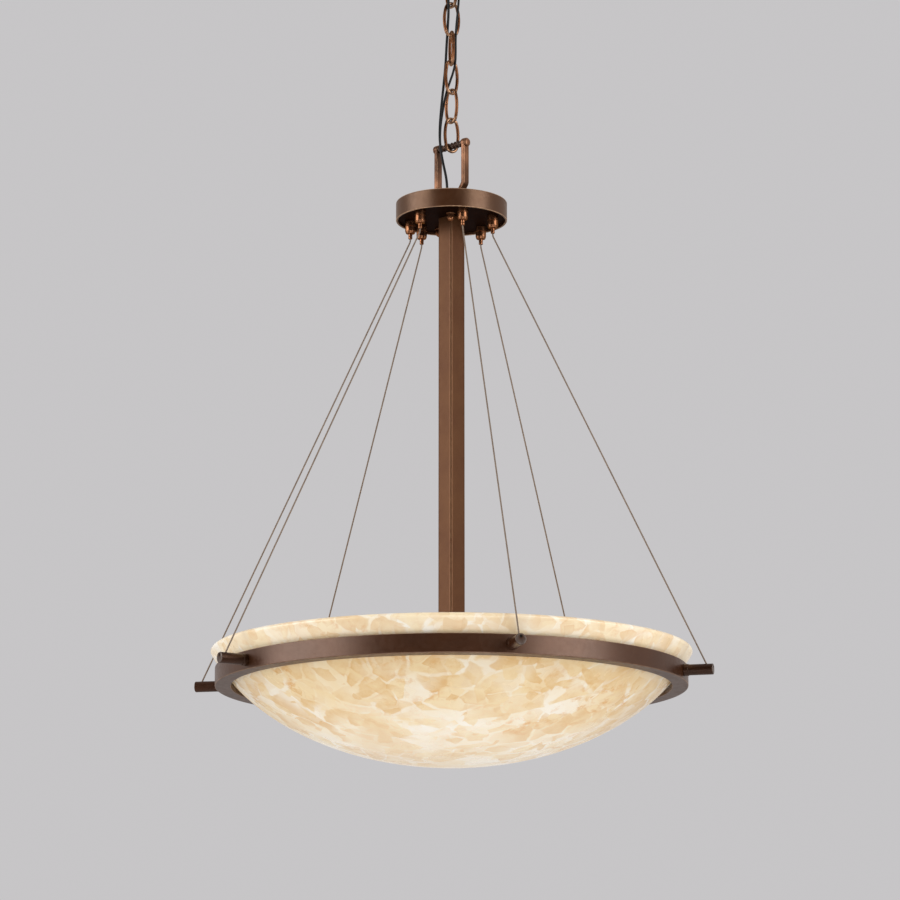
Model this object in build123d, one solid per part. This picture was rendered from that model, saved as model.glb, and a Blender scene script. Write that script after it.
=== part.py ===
from build123d import *
import os
from math import acos, atan2, cos, degrees, pi, radians, sin, sqrt, tan

# A bowl pendant light, in millimetres. The origin is on the ceiling, at the middle of the canopy,
# +Z is up, and -Y is the side that faces the viewer. Plan angles are counted from +X towards +Y.

# Clearances
FIT = 0.05            # radial play of a shank, plug or shaft in its hole
HANG = 0.3            # air left where one hanging piece bears on another

# Ceiling mount
CANOPY_R = 63.5
CANOPY_HEIGHT = 25.0
CANOPY_WALL = 1.2
CANOPY_EDGE_R = 6.0
CROSSBAR_END = 2.55   # metal left beyond each slot
CROSSBAR_WIDTH = 16.0
CROSSBAR_THICK = 2.0
BOX_SCREW_SPACING = 88.9
BOX_SLOT_WIDTH = 5.2
BOX_SLOT_LENGTH = 14.0
GROUND_SCREW_R = 2.0
GROUND_SCREW_HEAD_R = 4.0
GROUND_SCREW_HEAD = 2.4
GROUND_SCREW_PLACE = 27.0
NIPPLE_R = 4.85
NIPPLE_BORE_R = 3.2
NIPPLE_GRIP = 5.0     # length held in the loop's neck
LOCK_NUT_FLATS = 16.0
LOCK_NUT_HEIGHT = 4.0
COLLAR_R = 11.0
COLLAR_HEIGHT = 6.0
COLLAR_EDGE_R = 1.5
LOOP_NECK_R = 8.0
LOOP_NECK_HEIGHT = 8.0
LOOP_PASSAGE_R = 4.0
LOOP_WIRE = 4.5
LOOP_R = 10.0         # from the loop's middle to the middle of its wire
LOOP_SINK = 1.5       # how far the loop's wire is set into its neck
LOOP_TURN = 10.0

# Chain, numbered from the yoke up; each turn is the plan angle of a link's width
LINK_WIRE = 3.4
LINK_INSIDE = 32.2
LINK_WIDTH = 19.4
LINK_END_R = 6.4      # of the wire's middle, at each end of a link
LINK_TURNS = {1: 32.0, 2: -46.0, 3: 42.0, 4: 103.0, 5: 20.0, 6: 130.0}

# Yoke
YOKE_TURN = -44.0
YOKE_HALF_SPAN = 19.5
YOKE_WIDTH = 8.0
YOKE_THICK = 4.4
YOKE_EYE_R = 4.75
YOKE_BASE_MARGIN = 2.9  # base beyond the bolt's head on each side
YOKE_BEND_DROP = 43.8  # from the rod down to the bend in each leg
YOKE_BEND_R = 5.0
ROD_R = 3.8
ROD_END_R = 2.5
ROD_RISE = 62.0       # rod above the hub's top
CAP_NUT_R = 4.5
CAP_NUT_SIDE = 1.2
CAP_NUT_HEIGHT = 2.8
CAP_NUT_DEPTH = 1.8
YOKE_BOLT_R = 3.0
YOKE_BOLT_HEAD_R = 4.6
YOKE_BOLT_HEAD = 3.0
YOKE_BOLT_GRIP = 8.0  # length held in the stem's upper plug

# Hub
HUB_R = 58.0
HUB_HEIGHT = 19.7
HUB_WALL = 2.0
HUB_TOP = 2.5
HUB_EDGE_R = 1.2
PLATE_RECESS = 3.0
PLATE_THICK = 2.0
STUD_R = 2.0
STUD_REACH = 4.0
STUD_PLACES = ((21.0, 267.3), (42.0, 108.0))
PLATE_NUT_FLANGE_R = 4.6
PLATE_NUT_FLANGE = 1.0
PLATE_NUT_FLATS = 7.4
PLATE_NUT_HEX = 4.6
PLATE_NUT_DOME_R = 3.4
BUSHING_PLACE = (-4.4, -15.8)
BUSHING_R = 3.4
BUSHING_FLANGE_R = 4.6
BUSHING_FLANGE = 2.0
BUSHING_NECK_BELOW = 1.5

# Cable grippers under the hub, and the ring pins that they hold
GRIPPER_INSET = 11.6  # gripper's axis from the inside of the hub's wall
GRIPPER_ANGLES = (285.0, 223.0, 166.0, 135.0, 46.0, 345.0)
PIN_ANGLES = (284.0, 213.0, 168.0, 126.0, 57.0, 345.0)
BARREL_R = 5.5
BARREL_TIP_R = 4.6
BARREL_TAPER = 2.6
BARREL_DROP = 10.5    # below the hub's lower edge
SPIGOT_R = 3.5
SPIGOT_RISE = 8.0     # above the plate's underside
CHAMBER_R = 3.1
CHAMBER_FLOOR = 2.5
CHAMBER_HEIGHT = 9.0
GRIPPER_NUT_FLATS = 11.0
GRIPPER_NUT_HEIGHT = 3.5
PLUNGER_R = 2.15
PLUNGER_SHOW = 6.0    # length below the barrel
PLUNGER_COLLAR_PLAY = 0.15
PLUNGER_COLLAR = 2.0
PLUNGER_TIP_CHAMFER = 0.6
SPRING_PLAY = 0.35
SPRING_WIRE = 1.05
CABLE_R = 0.8
CABLE_PLAY = 0.25
CABLE_BEND_R = 10.0
CABLE_TAIL = 1.5      # free end above the gripper's spigot

# Square stem
STEM_SIDE = 20.3
STEM_WALL = 1.6
STEM_CORNER_R = 2.2
STEM_TURN = 42.5
PLUG_HEIGHT = 12.0

# Ring
HUB_TO_RING = 491.6   # from the hub's lower edge to the ring's underside
RING_R = 240.0
RING_HEIGHT = 19.0
RING_WALL = 3.5
RING_FLANGE = 6.0
RING_LEDGE = 12.8     # flange's width inside the wall
RING_EDGE_R = 0.6
PIN_R = 5.5
PIN_COLLAR_R = 6.0
PIN_COLLAR = 5.0
PIN_LENGTH = 30.0
PIN_CHAMFER = 0.8
PIN_CABLE_INSET = 4.5  # cable hole from the pin's free end
PIN_CABLE_DEPTH = 3.0
PIN_BORE_DEPTH = 12.0
PIN_SCREW_R = 2.5
PIN_SCREW_HEAD_R = 3.2
PIN_SCREW_HEAD = 2.4
SET_SCREW_R = 1.15
SET_SCREW_LENGTH = 1.8
SET_SCREW_INSET = 1.0
SET_SCREW_RISE = 2.7  # above the pin's axis
PAD_COUNT = 6
PAD_ARC = 6.0
PAD_HEIGHT = 5.0
PAD_TOP_WIDTH = 3.0

# Bowl: an ellipse turned about the lamp's axis, as wide as fits the ring
BOWL_HALF_HEIGHT = 179.9
BOWL_DROP = 78.6      # lowest point below the ring's underside
BOWL_RISE = 38.4      # rim above the ring's underside
BOWL_WALL = 6.0
BOWL_LIP = 3.4
BOWL_PLAY = 0.6       # between the bowl and the flange's edge
BOWL_SPANS = 6        # spans of the curve that follows the ellipse

# Lamps inside the bowl
LAMP_ANGLES = (90.0, 210.0, 330.0)
CLUSTER_R = 22.0
CLUSTER_ABOVE = 18.0
CLUSTER_BELOW = 14.0
CLUSTER_EDGE_R = 3.0
CLUSTER_SEAT = 10.0
ARM_BORE_R = 3.0
ARM_START = 14.0
ARM_END = 42.0
HOLDER_START = 32.0
HOLDER_NECK_R = 8.0
HOLDER_NECK = 6.0
HOLDER_SHOULDER = 8.0
HOLDER_WALL = 4.4
HOLDER_LENGTH = 50.0
HOLDER_CAVITY_DEPTH = 30.0
SHELL_WALL = 0.9
SHELL_LENGTH = 28.0
BULB_CAP_R = 13.1
BULB_CAP_PLAY = 0.55  # between the cap and the screw shell
BULB_CAP_LENGTH = 26.0
BULB_CONTACT_R = 4.0
BULB_CONTACT = 1.5
BULB_NECK_INSET = 0.3  # neck inside the cap's radius
BULB_R = 30.0
BULB_LENGTH = 78.0
BULB_WALL = 1.0

# Supply cord and earth wire, each laced down the chain
CORD_R = 1.35
WIRE_R = 1.2
CORD_POINTS = (
    (-1.3, 0.0, -2.0), (-1.3, 0.0, -34.5), (-2.6, -1.6, -43.0), (-3.4, -4.1, -51.5),
    (-3.9, -5.8, -62.0), (-3.6, -6.3, -74.0), (-3.1, -5.4, -86.5), (-3.2, -2.8, -98.0),
    (-3.9, 0.4, -109.5), (-4.7, 2.7, -121.5), (-5.4, 3.4, -134.0), (-6.0, 2.9, -147.0),
    (-6.9, 1.5, -160.0), (-8.2, -0.3, -174.0), (-9.6, -1.9, -189.0), (-11.1, -3.5, -205.0),
    (-12.3, -5.0, -222.0), (-12.4, -6.7, -238.0), (-10.7, -8.8, -254.0), (-7.9, -12.0, -269.0),
    (-5.5, -15.0, -281.0), (-4.4, -17.3, -293.5), (-4.4, -17.3, -307.5))
WIRE_POINTS = (
    (1.6, 0.0, -2.0), (1.6, 0.0, -34.5), (2.8, -1.6, -43.0), (5.8, -2.7, -51.5),
    (7.7, -3.2, -62.0), (8.0, -3.5, -74.0), (7.4, -3.4, -87.0), (6.1, -3.2, -100.0),
    (4.9, -2.7, -113.0), (4.3, -2.1, -126.0), (4.4, -1.5, -138.5), (4.2, -0.9, -150.5),
    (1.7, -0.3, -162.0), (-2.0, 0.0, -172.5), (-5.4, 0.2, -183.0), (-7.9, 0.1, -195.5),
    (-10.1, -0.4, -209.0), (-11.8, -1.5, -223.0), (-12.2, -3.2, -238.0), (-10.7, -5.4, -253.0),
    (-8.0, -8.8, -268.0), (-5.5, -11.8, -280.0), (-4.4, -14.3, -292.6), (-4.4, -14.3, -307.5))
CORD_ARC_SHARE = 0.45  # part of the shorter run that an arc takes up on each side of its corner

# Heights, and the radii that pieces share, worked out from the ceiling down
canopy_low = -CANOPY_HEIGHT
collar_low = canopy_low - COLLAR_HEIGHT
neck_low = collar_low - LOOP_NECK_HEIGHT
nipple_low = collar_low - NIPPLE_GRIP
loop_middle = neck_low + LOOP_SINK - LOOP_R
loop_low = loop_middle - LOOP_R                    # middle of the loop's lowest wire
link_run = LINK_INSIDE + LINK_WIRE                 # between the middles of a link's end wires
link_step = LINK_WIRE + HANG
link_tops = {}
link_top = loop_low + LOOP_WIRE / 2 + HANG + LINK_WIRE / 2
for number in sorted(LINK_TURNS, reverse=True):
    link_tops[number] = link_top
    link_top += link_step - link_run
rod_z = link_tops[1] - link_run + LINK_WIRE / 2 + HANG + ROD_R
hub_top = rod_z - ROD_RISE
hub_low = hub_top - HUB_HEIGHT
hub_ceiling = hub_top - HUB_TOP
gripper_circle_r = HUB_R - HUB_WALL - GRIPPER_INSET
plate_low = hub_low + PLATE_RECESS
plate_top = plate_low + PLATE_THICK
barrel_low = hub_low - BARREL_DROP
plunger_low = barrel_low - PLUNGER_SHOW
spigot_top = plate_low + SPIGOT_RISE
chamber_low = barrel_low + CHAMBER_FLOOR
collar_seat = chamber_low + FIT
ring_low = hub_low - HUB_TO_RING
ring_top = ring_low + RING_HEIGHT
ring_middle = ring_low + RING_HEIGHT / 2
ring_opening_r = RING_R - RING_WALL - RING_LEDGE
bowl_seat = ring_low + RING_FLANGE
bowl_middle = ring_low - BOWL_DROP + BOWL_HALF_HEIGHT
bowl_share = sqrt(1 - ((bowl_middle - bowl_seat) / BOWL_HALF_HEIGHT) ** 2)
bowl_half_width = (ring_opening_r - BOWL_PLAY) / bowl_share  # the ellipse passes the flange's edge
lamp_z = ring_low
cluster_top = lamp_z + CLUSTER_ABOVE
cluster_low = lamp_z - CLUSTER_BELOW
stem_low = cluster_top + LOCK_NUT_HEIGHT

CENTRED = (Align.CENTER, Align.CENTER, Align.MIN)


def post(radius, low, high):
    """A cylinder on the Z axis between two heights."""
    return Pos(0, 0, low) * Cylinder(radius, high - low, align=CENTRED)


def sleeve(outer, inner, low, high):
    """A tube on the Z axis between two heights."""
    return post(outer, low, high) - post(inner, low, high)


def hexagon(flats, low, high):
    """A hexagonal bar on the Z axis between two heights, given its width across flats."""
    return Pos(0, 0, low) * extrude(RegularPolygon(flats / 2, 6, major_radius=False), high - low)


def hex_nut(flats, bore, low, high):
    """A hexagonal nut on the Z axis between two heights."""
    return hexagon(flats, low, high) - post(bore, low, high)


def turned(*points):
    """The solid that a closed outline of (radius, height) points sweeps about the Z axis."""
    return revolve(Plane.XZ * make_face(Polyline(*points, close=True)), Axis.Z)


def along_x(shape):
    """Turn a shape built on the Z axis so that it points along +X."""
    return Rot(0, 90, 0) * shape


def polar(radius, angle, height=0.0):
    """The point at a plan angle, a radius and a height."""
    return Vector(radius * cos(radians(angle)), radius * sin(radians(angle)), height)


def rim_edges(solid, radius, height):
    """The round edges of a solid that have one radius and lie at one height."""
    near = 1e-3
    round_edges = solid.edges().filter_by(GeomType.CIRCLE)
    return [e for e in round_edges if abs(e.radius - radius) < near and abs(e.arc_center.Z - height) < near]


def swept(path, section, across=None):
    """A section carried along a path from its first point, with its first side turned across the path."""
    start = Plane(origin=path @ 0, x_dir=across, z_dir=path % 0)
    return sweep(start * section, path=path)


# Ceiling mount
def canopy():
    shell = post(CANOPY_R, canopy_low, 0)
    shell = fillet(rim_edges(shell, CANOPY_R, canopy_low), CANOPY_EDGE_R)
    hollow = post(CANOPY_R - CANOPY_WALL, canopy_low + CANOPY_WALL, 0)
    hollow_rim = rim_edges(hollow, CANOPY_R - CANOPY_WALL, canopy_low + CANOPY_WALL)
    hollow = fillet(hollow_rim, CANOPY_EDGE_R - CANOPY_WALL)
    return shell - hollow - post(NIPPLE_R + HANG, canopy_low, 0)


def crossbar():
    length = BOX_SCREW_SPACING + BOX_SLOT_LENGTH + 2 * CROSSBAR_END
    bar = extrude(RectangleRounded(length, CROSSBAR_WIDTH, CROSSBAR_WIDTH / 2 - FIT), -CROSSBAR_THICK)
    bar -= post(NIPPLE_R + FIT, -CROSSBAR_THICK, 0)
    for side in (-1, 1):
        slot = extrude(SlotOverall(BOX_SLOT_LENGTH, BOX_SLOT_WIDTH), -CROSSBAR_THICK)
        bar -= Pos(side * BOX_SCREW_SPACING / 2, 0, 0) * slot
    return bar - Pos(GROUND_SCREW_PLACE, 0, 0) * post(GROUND_SCREW_R + FIT, -CROSSBAR_THICK, 0)


def ground_screw():
    head_low = -CROSSBAR_THICK - GROUND_SCREW_HEAD
    screw = post(GROUND_SCREW_R, -CROSSBAR_THICK, 0) + post(GROUND_SCREW_HEAD_R, head_low, -CROSSBAR_THICK)
    return Pos(GROUND_SCREW_PLACE, 0, 0) * screw


def canopy_nipple():
    return sleeve(NIPPLE_R, NIPPLE_BORE_R, nipple_low, 0)


def nipple_lock_nut():
    return hex_nut(LOCK_NUT_FLATS, NIPPLE_R + FIT, -CROSSBAR_THICK - LOCK_NUT_HEIGHT, -CROSSBAR_THICK)


def canopy_collar():
    collar = sleeve(COLLAR_R, NIPPLE_R + FIT, collar_low, canopy_low)
    return fillet(rim_edges(collar, COLLAR_R, collar_low), COLLAR_EDGE_R)


def canopy_loop():
    neck = post(LOOP_NECK_R, neck_low, collar_low)
    ring = Pos(0, 0, loop_middle) * Rot(90, 0, 0) * Torus(LOOP_R, LOOP_WIRE / 2)
    loop = neck + Rot(0, 0, LOOP_TURN) * ring
    loop -= post(NIPPLE_R + FIT, nipple_low - FIT, collar_low)
    return loop - post(LOOP_PASSAGE_R, loop_middle, collar_low)


# Chain
def chain_link(number):
    """A wire link: an oval of two wide arcs for its sides and two narrow arcs for its ends."""
    half_width = (LINK_WIDTH - LINK_WIRE) / 2
    end_z = link_run / 2 - LINK_END_R
    side_r = (half_width ** 2 + end_z ** 2 - LINK_END_R ** 2) / (2 * (half_width - LINK_END_R))
    meeting = degrees(atan2(end_z, side_r - half_width))  # where a side's arc passes into an end's
    side = CenterArc((half_width - side_r, 0), side_r, -meeting, 2 * meeting)
    end = CenterArc((0, end_z), LINK_END_R, meeting, 180 - 2 * meeting)
    half = swept(Plane.XZ * Wire([side, end]), Circle(LINK_WIRE / 2))
    link = half + Rot(0, 180, 0) * half
    return Pos(0, 0, link_tops[number] - link_run / 2) * Rot(0, 0, LINK_TURNS[number]) * link


# Yoke
def yoke_strap():
    """A flat bar bent into a yoke, with an eye at the head of each leg and a hole in its base."""
    base_z = hub_top + YOKE_THICK / 2
    bend_z = rod_z - YOKE_BEND_DROP
    half = [(YOKE_BOLT_HEAD_R + YOKE_BASE_MARGIN, base_z), (YOKE_HALF_SPAN, bend_z), (YOKE_HALF_SPAN, rod_z)]
    points = [(-x, 0, z) for x, z in reversed(half)] + [(x, 0, z) for x, z in half]
    path = FilletPolyline(*points, radius=YOKE_BEND_R)
    strap = swept(path, Rectangle(YOKE_WIDTH, YOKE_THICK), across=(0, 1, 0))
    eye = along_x(post(YOKE_EYE_R, -YOKE_THICK / 2, YOKE_THICK / 2))
    hole = along_x(post(ROD_END_R + FIT, -YOKE_THICK, YOKE_THICK))
    for side in (-1, 1):
        strap += Pos(side * YOKE_HALF_SPAN, 0, rod_z) * eye
    for side in (-1, 1):
        strap -= Pos(side * YOKE_HALF_SPAN, 0, rod_z) * hole
    strap -= post(YOKE_BOLT_R + FIT, hub_top, hub_top + YOKE_THICK)
    return Rot(0, 0, YOKE_TURN) * strap


def yoke_rod():
    shoulder = YOKE_HALF_SPAN - YOKE_THICK / 2 - FIT
    end = YOKE_HALF_SPAN + YOKE_THICK / 2 + CAP_NUT_DEPTH - FIT
    rod = post(ROD_R, -shoulder, shoulder) + post(ROD_END_R, -end, end)
    return Rot(0, 0, YOKE_TURN) * Pos(0, 0, rod_z) * along_x(rod)


def yoke_cap_nuts():
    face = YOKE_HALF_SPAN + YOKE_THICK / 2
    dome = CAP_NUT_HEIGHT - CAP_NUT_SIDE
    ball_r = (CAP_NUT_R ** 2 + dome ** 2) / (2 * dome)
    ball = Pos(0, 0, CAP_NUT_HEIGHT - ball_r) * Sphere(ball_r)
    nut = post(CAP_NUT_R, 0, CAP_NUT_HEIGHT) & ball
    nut -= post(ROD_END_R + FIT, 0, CAP_NUT_DEPTH)
    sides = [Rot(0, 0, YOKE_TURN + turn) * Pos(face, 0, rod_z) * along_x(nut) for turn in (0, 180)]
    return Compound(children=sides)


def yoke_bolt():
    head_low = hub_top + YOKE_THICK
    low = hub_ceiling - YOKE_BOLT_GRIP
    return post(YOKE_BOLT_R, low, head_low) + post(YOKE_BOLT_HEAD_R, head_low, head_low + YOKE_BOLT_HEAD)


# Hub
def hub_cup():
    cup = post(HUB_R, hub_low, hub_top)
    cup = fillet(rim_edges(cup, HUB_R, hub_top), HUB_EDGE_R)
    cup -= post(HUB_R - HUB_WALL, hub_low, hub_ceiling)
    cup -= post(YOKE_BOLT_R + FIT, hub_ceiling, hub_top)
    cup -= Pos(*BUSHING_PLACE, 0) * post(BUSHING_R + FIT, hub_ceiling, hub_top)
    for radius, angle in STUD_PLACES:
        cup += Pos(polar(radius, angle)) * post(STUD_R, plate_low - STUD_REACH, hub_ceiling)
    return cup


def hub_plate():
    plate = post(HUB_R - HUB_WALL - FIT, plate_low, plate_top)
    for angle in GRIPPER_ANGLES:
        plate -= Pos(polar(gripper_circle_r, angle)) * post(SPIGOT_R + FIT, plate_low, plate_top)
    for radius, angle in STUD_PLACES:
        plate -= Pos(polar(radius, angle)) * post(STUD_R + FIT, plate_low, plate_top)
    window = RectangleRounded(STEM_SIDE + 2 * FIT, STEM_SIDE + 2 * FIT, STEM_CORNER_R)
    return plate - Pos(0, 0, plate_low) * Rot(0, 0, STEM_TURN) * extrude(window, PLATE_THICK)


def plate_cap_nuts():
    hex_top = plate_low - PLATE_NUT_FLANGE
    hex_low = hex_top - PLATE_NUT_HEX
    nut = post(PLATE_NUT_FLANGE_R, hex_top, plate_low) + hexagon(PLATE_NUT_FLATS, hex_low, hex_top)
    nut += Pos(0, 0, hex_low) * Sphere(PLATE_NUT_DOME_R)
    nut -= post(STUD_R + FIT, plate_low - STUD_REACH - FIT, plate_low)
    return Compound(children=[Pos(polar(*place)) * nut for place in STUD_PLACES])


def cord_bushing():
    bushing = post(BUSHING_FLANGE_R, hub_top, hub_top + BUSHING_FLANGE)
    bushing += post(BUSHING_R, hub_ceiling - BUSHING_NECK_BELOW, hub_top)
    bushing = Pos(*BUSHING_PLACE, 0) * bushing
    for points, radius in ((CORD_POINTS, CORD_R), (WIRE_POINTS, WIRE_R)):
        hole = post(radius + FIT, hub_low, hub_top + BUSHING_FLANGE)
        bushing -= Pos(points[-1][0], points[-1][1], 0) * hole
    return bushing


# Cable grippers
def gripper_barrel(angle):
    """A turned barrel with a threaded spigot, a spring chamber and a bore for the cable."""
    barrel = turned(
        (CABLE_R + CABLE_PLAY, spigot_top), (SPIGOT_R, spigot_top), (SPIGOT_R, plate_low),
        (BARREL_R, plate_low), (BARREL_R, barrel_low + BARREL_TAPER), (BARREL_TIP_R, barrel_low),
        (PLUNGER_R + FIT, barrel_low), (PLUNGER_R + FIT, chamber_low), (CHAMBER_R, chamber_low),
        (CHAMBER_R, chamber_low + CHAMBER_HEIGHT), (CABLE_R + CABLE_PLAY, chamber_low + CHAMBER_HEIGHT))
    return Pos(polar(gripper_circle_r, angle)) * barrel


def gripper_nut(angle):
    nut = hex_nut(GRIPPER_NUT_FLATS, SPIGOT_R + FIT, plate_top, plate_top + GRIPPER_NUT_HEIGHT)
    return Pos(polar(gripper_circle_r, angle)) * nut


def gripper_plunger(angle):
    bore_r = CABLE_R + CABLE_PLAY
    collar_r = CHAMBER_R - PLUNGER_COLLAR_PLAY
    plunger = turned(
        (bore_r, plunger_low), (PLUNGER_R - PLUNGER_TIP_CHAMFER, plunger_low),
        (PLUNGER_R, plunger_low + PLUNGER_TIP_CHAMFER), (PLUNGER_R, collar_seat),
        (collar_r, collar_seat), (collar_r, collar_seat + PLUNGER_COLLAR),
        (bore_r, collar_seat + PLUNGER_COLLAR))
    return Pos(polar(gripper_circle_r, angle)) * plunger


def gripper_spring(angle):
    low = collar_seat + PLUNGER_COLLAR + FIT
    spring_r = CHAMBER_R - SPRING_PLAY
    spring = sleeve(spring_r, spring_r - SPRING_WIRE, low, chamber_low + CHAMBER_HEIGHT)
    return Pos(polar(gripper_circle_r, angle)) * spring


def cable_corner(gripper_angle):
    """The point where a cable's vertical line under its gripper meets its slanted line."""
    slope = atan2(pin_hole_r - gripper_circle_r, plunger_low - ring_middle)
    bend_reach = CABLE_BEND_R * tan(slope / 2)
    return polar(gripper_circle_r, gripper_angle, plunger_low - bend_reach - HANG)


def cable_direction(gripper_angle, pin_angle):
    """The unit vector down the slanted part of a cable, from its gripper to its pin."""
    return (polar(pin_hole_r, pin_angle, ring_middle) - cable_corner(gripper_angle)).normalized()


def cable(gripper_angle, pin_angle):
    start = polar(gripper_circle_r, gripper_angle, spigot_top + CABLE_TAIL)
    anchor = polar(pin_hole_r, pin_angle, ring_middle)
    end = anchor + cable_direction(gripper_angle, pin_angle) * PIN_CABLE_DEPTH
    path = FilletPolyline(start, cable_corner(gripper_angle), end, radius=CABLE_BEND_R)
    return swept(path, Circle(CABLE_R))


# Ring and its pins
pin_hole_r = RING_R + PIN_LENGTH - PIN_CABLE_INSET


def ring():
    """An angle section turned into a ring: an upright wall and a flange turned inwards below it."""
    band = turned(
        (ring_opening_r, ring_low), (RING_R, ring_low), (RING_R, ring_top), (RING_R - RING_WALL, ring_top),
        (RING_R - RING_WALL, bowl_seat), (ring_opening_r, bowl_seat))
    corners = rim_edges(band, RING_R, ring_low) + rim_edges(band, RING_R, ring_top)
    band = fillet(corners, RING_EDGE_R)
    for angle in PIN_ANGLES:
        hole = along_x(post(PIN_SCREW_R + FIT, RING_R - 2 * RING_WALL, RING_R + RING_WALL))
        band -= Rot(0, 0, angle) * Pos(0, 0, ring_middle) * hole
    return band


def ring_pin(gripper_angle, pin_angle):
    """A round pin that stands out of the ring, drilled for its screw, its set screw and its cable."""
    tip = RING_R + PIN_LENGTH
    seat = RING_R + FIT
    pin = turned(
        (0, seat), (PIN_COLLAR_R, seat), (PIN_COLLAR_R, seat + PIN_COLLAR), (PIN_R, seat + PIN_COLLAR),
        (PIN_R, tip - PIN_CHAMFER), (PIN_R - PIN_CHAMFER, tip), (0, tip))
    pin -= post(PIN_SCREW_R + FIT, seat, seat + PIN_BORE_DEPTH + FIT)
    pin -= Pos(-SET_SCREW_RISE, 0, 0) * post(SET_SCREW_R + FIT, pin_hole_r, tip)
    pin = Rot(0, 0, pin_angle) * Pos(0, 0, ring_middle) * along_x(pin)
    direction = cable_direction(gripper_angle, pin_angle)
    anchor = polar(pin_hole_r, pin_angle, ring_middle)
    hole_plane = Plane(origin=anchor + direction * (PIN_CABLE_DEPTH + FIT), z_dir=direction * -1)
    return pin - hole_plane * post(CABLE_R + FIT, 0, 2 * PIN_LENGTH)


def pin_screw(angle):
    inner = RING_R - RING_WALL - FIT
    screw = post(PIN_SCREW_HEAD_R, inner - PIN_SCREW_HEAD, inner)
    screw += post(PIN_SCREW_R, inner, RING_R + PIN_BORE_DEPTH)
    return Rot(0, 0, angle) * Pos(0, 0, ring_middle) * along_x(screw)


def set_screw(angle):
    high = RING_R + PIN_LENGTH - SET_SCREW_INSET
    screw = post(SET_SCREW_R, high - SET_SCREW_LENGTH, high)
    return Rot(0, 0, angle) * Pos(0, 0, ring_middle + SET_SCREW_RISE) * along_x(screw)


# Bowl and the pads that it rests on
def bowl_radius(z):
    """The bowl's outer radius at a height."""
    return bowl_half_width * sqrt(1 - ((bowl_middle - z) / BOWL_HALF_HEIGHT) ** 2)


def bowl():
    """An elliptical shell of even wall with a rounded lip."""
    lip_start = ring_low + BOWL_RISE - BOWL_LIP

    def half_ellipse(width, height):
        end = acos((bowl_middle - lip_start) / height)
        turns = [end * step / BOWL_SPANS for step in range(BOWL_SPANS + 1)]
        points = [(width * sin(t), bowl_middle - height * cos(t)) for t in turns]
        return Spline(*points, tangents=((1, 0), (width * cos(end), height * sin(end))))

    outer = half_ellipse(bowl_half_width, BOWL_HALF_HEIGHT)
    inner = half_ellipse(bowl_half_width - BOWL_WALL, BOWL_HALF_HEIGHT - BOWL_WALL)
    lip_r = ((outer @ 1).X + (inner @ 1).X) / 2
    lip = ThreePointArc(outer @ 1, (lip_r, ring_low + BOWL_RISE), inner @ 1)
    axis = Line(outer @ 0, inner @ 0)
    return revolve(Plane.XZ * make_face([outer, lip, inner, axis]), Axis.Z)


def bowl_pads():
    low = bowl_seat
    high = low + PAD_HEIGHT
    inner_low = bowl_radius(low) + 2 * HANG
    inner_high = bowl_radius(high) + 2 * HANG
    outer = inner_high + PAD_TOP_WIDTH
    section = Polyline((inner_low, low), (outer, low), (outer, high), (inner_high, high), close=True)
    pad = revolve(Plane.XZ * make_face(section), Axis.Z, revolution_arc=PAD_ARC)
    return Compound(children=[Rot(0, 0, n * 360 / PAD_COUNT) * pad for n in range(PAD_COUNT)])


# Stem and lamps
def stem():
    outline = RectangleRounded(STEM_SIDE, STEM_SIDE, STEM_CORNER_R)
    bore_side = STEM_SIDE - 2 * STEM_WALL
    bore = RectangleRounded(bore_side, bore_side, STEM_CORNER_R - STEM_WALL)
    return Pos(0, 0, stem_low) * Rot(0, 0, STEM_TURN) * extrude(outline - bore, hub_ceiling - stem_low)


def stem_plug(low, bore):
    """A square plug that fills one end of the stem and holds a bolt or a nipple."""
    side = STEM_SIDE - 2 * STEM_WALL - 2 * FIT
    block = extrude(RectangleRounded(side, side, STEM_CORNER_R - STEM_WALL), PLUG_HEIGHT)
    return Pos(0, 0, low) * Rot(0, 0, STEM_TURN) * block - post(bore + FIT, low, low + PLUG_HEIGHT)


def cluster_nipple():
    return sleeve(NIPPLE_R, NIPPLE_BORE_R, cluster_top - CLUSTER_SEAT, stem_low + PLUG_HEIGHT)


def cluster_lock_nut():
    return hex_nut(LOCK_NUT_FLATS, NIPPLE_R + FIT, cluster_top, stem_low)


def cluster_body():
    body = post(CLUSTER_R, cluster_low, cluster_top)
    rims = rim_edges(body, CLUSTER_R, cluster_low) + rim_edges(body, CLUSTER_R, cluster_top)
    body = fillet(rims, CLUSTER_EDGE_R)
    body -= post(NIPPLE_R + FIT, cluster_top - CLUSTER_SEAT, cluster_top)
    for angle in LAMP_ANGLES:
        hole = along_x(post(NIPPLE_R + FIT, ARM_START, CLUSTER_R + FIT))
        body -= Rot(0, 0, angle) * Pos(0, 0, lamp_z) * hole
    return body


def lamp_arm(angle):
    arm = along_x(sleeve(NIPPLE_R, ARM_BORE_R, ARM_START, ARM_END))
    return Rot(0, 0, angle) * Pos(0, 0, lamp_z) * arm


shell_r = BULB_CAP_R + BULB_CAP_PLAY + SHELL_WALL
cavity_r = shell_r + FIT
holder_r = cavity_r + HOLDER_WALL
holder_mouth = HOLDER_START + HOLDER_LENGTH
cavity_floor = holder_mouth - HOLDER_CAVITY_DEPTH
bulb_cap_end = cavity_floor + BULB_CONTACT + BULB_CAP_LENGTH


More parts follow.
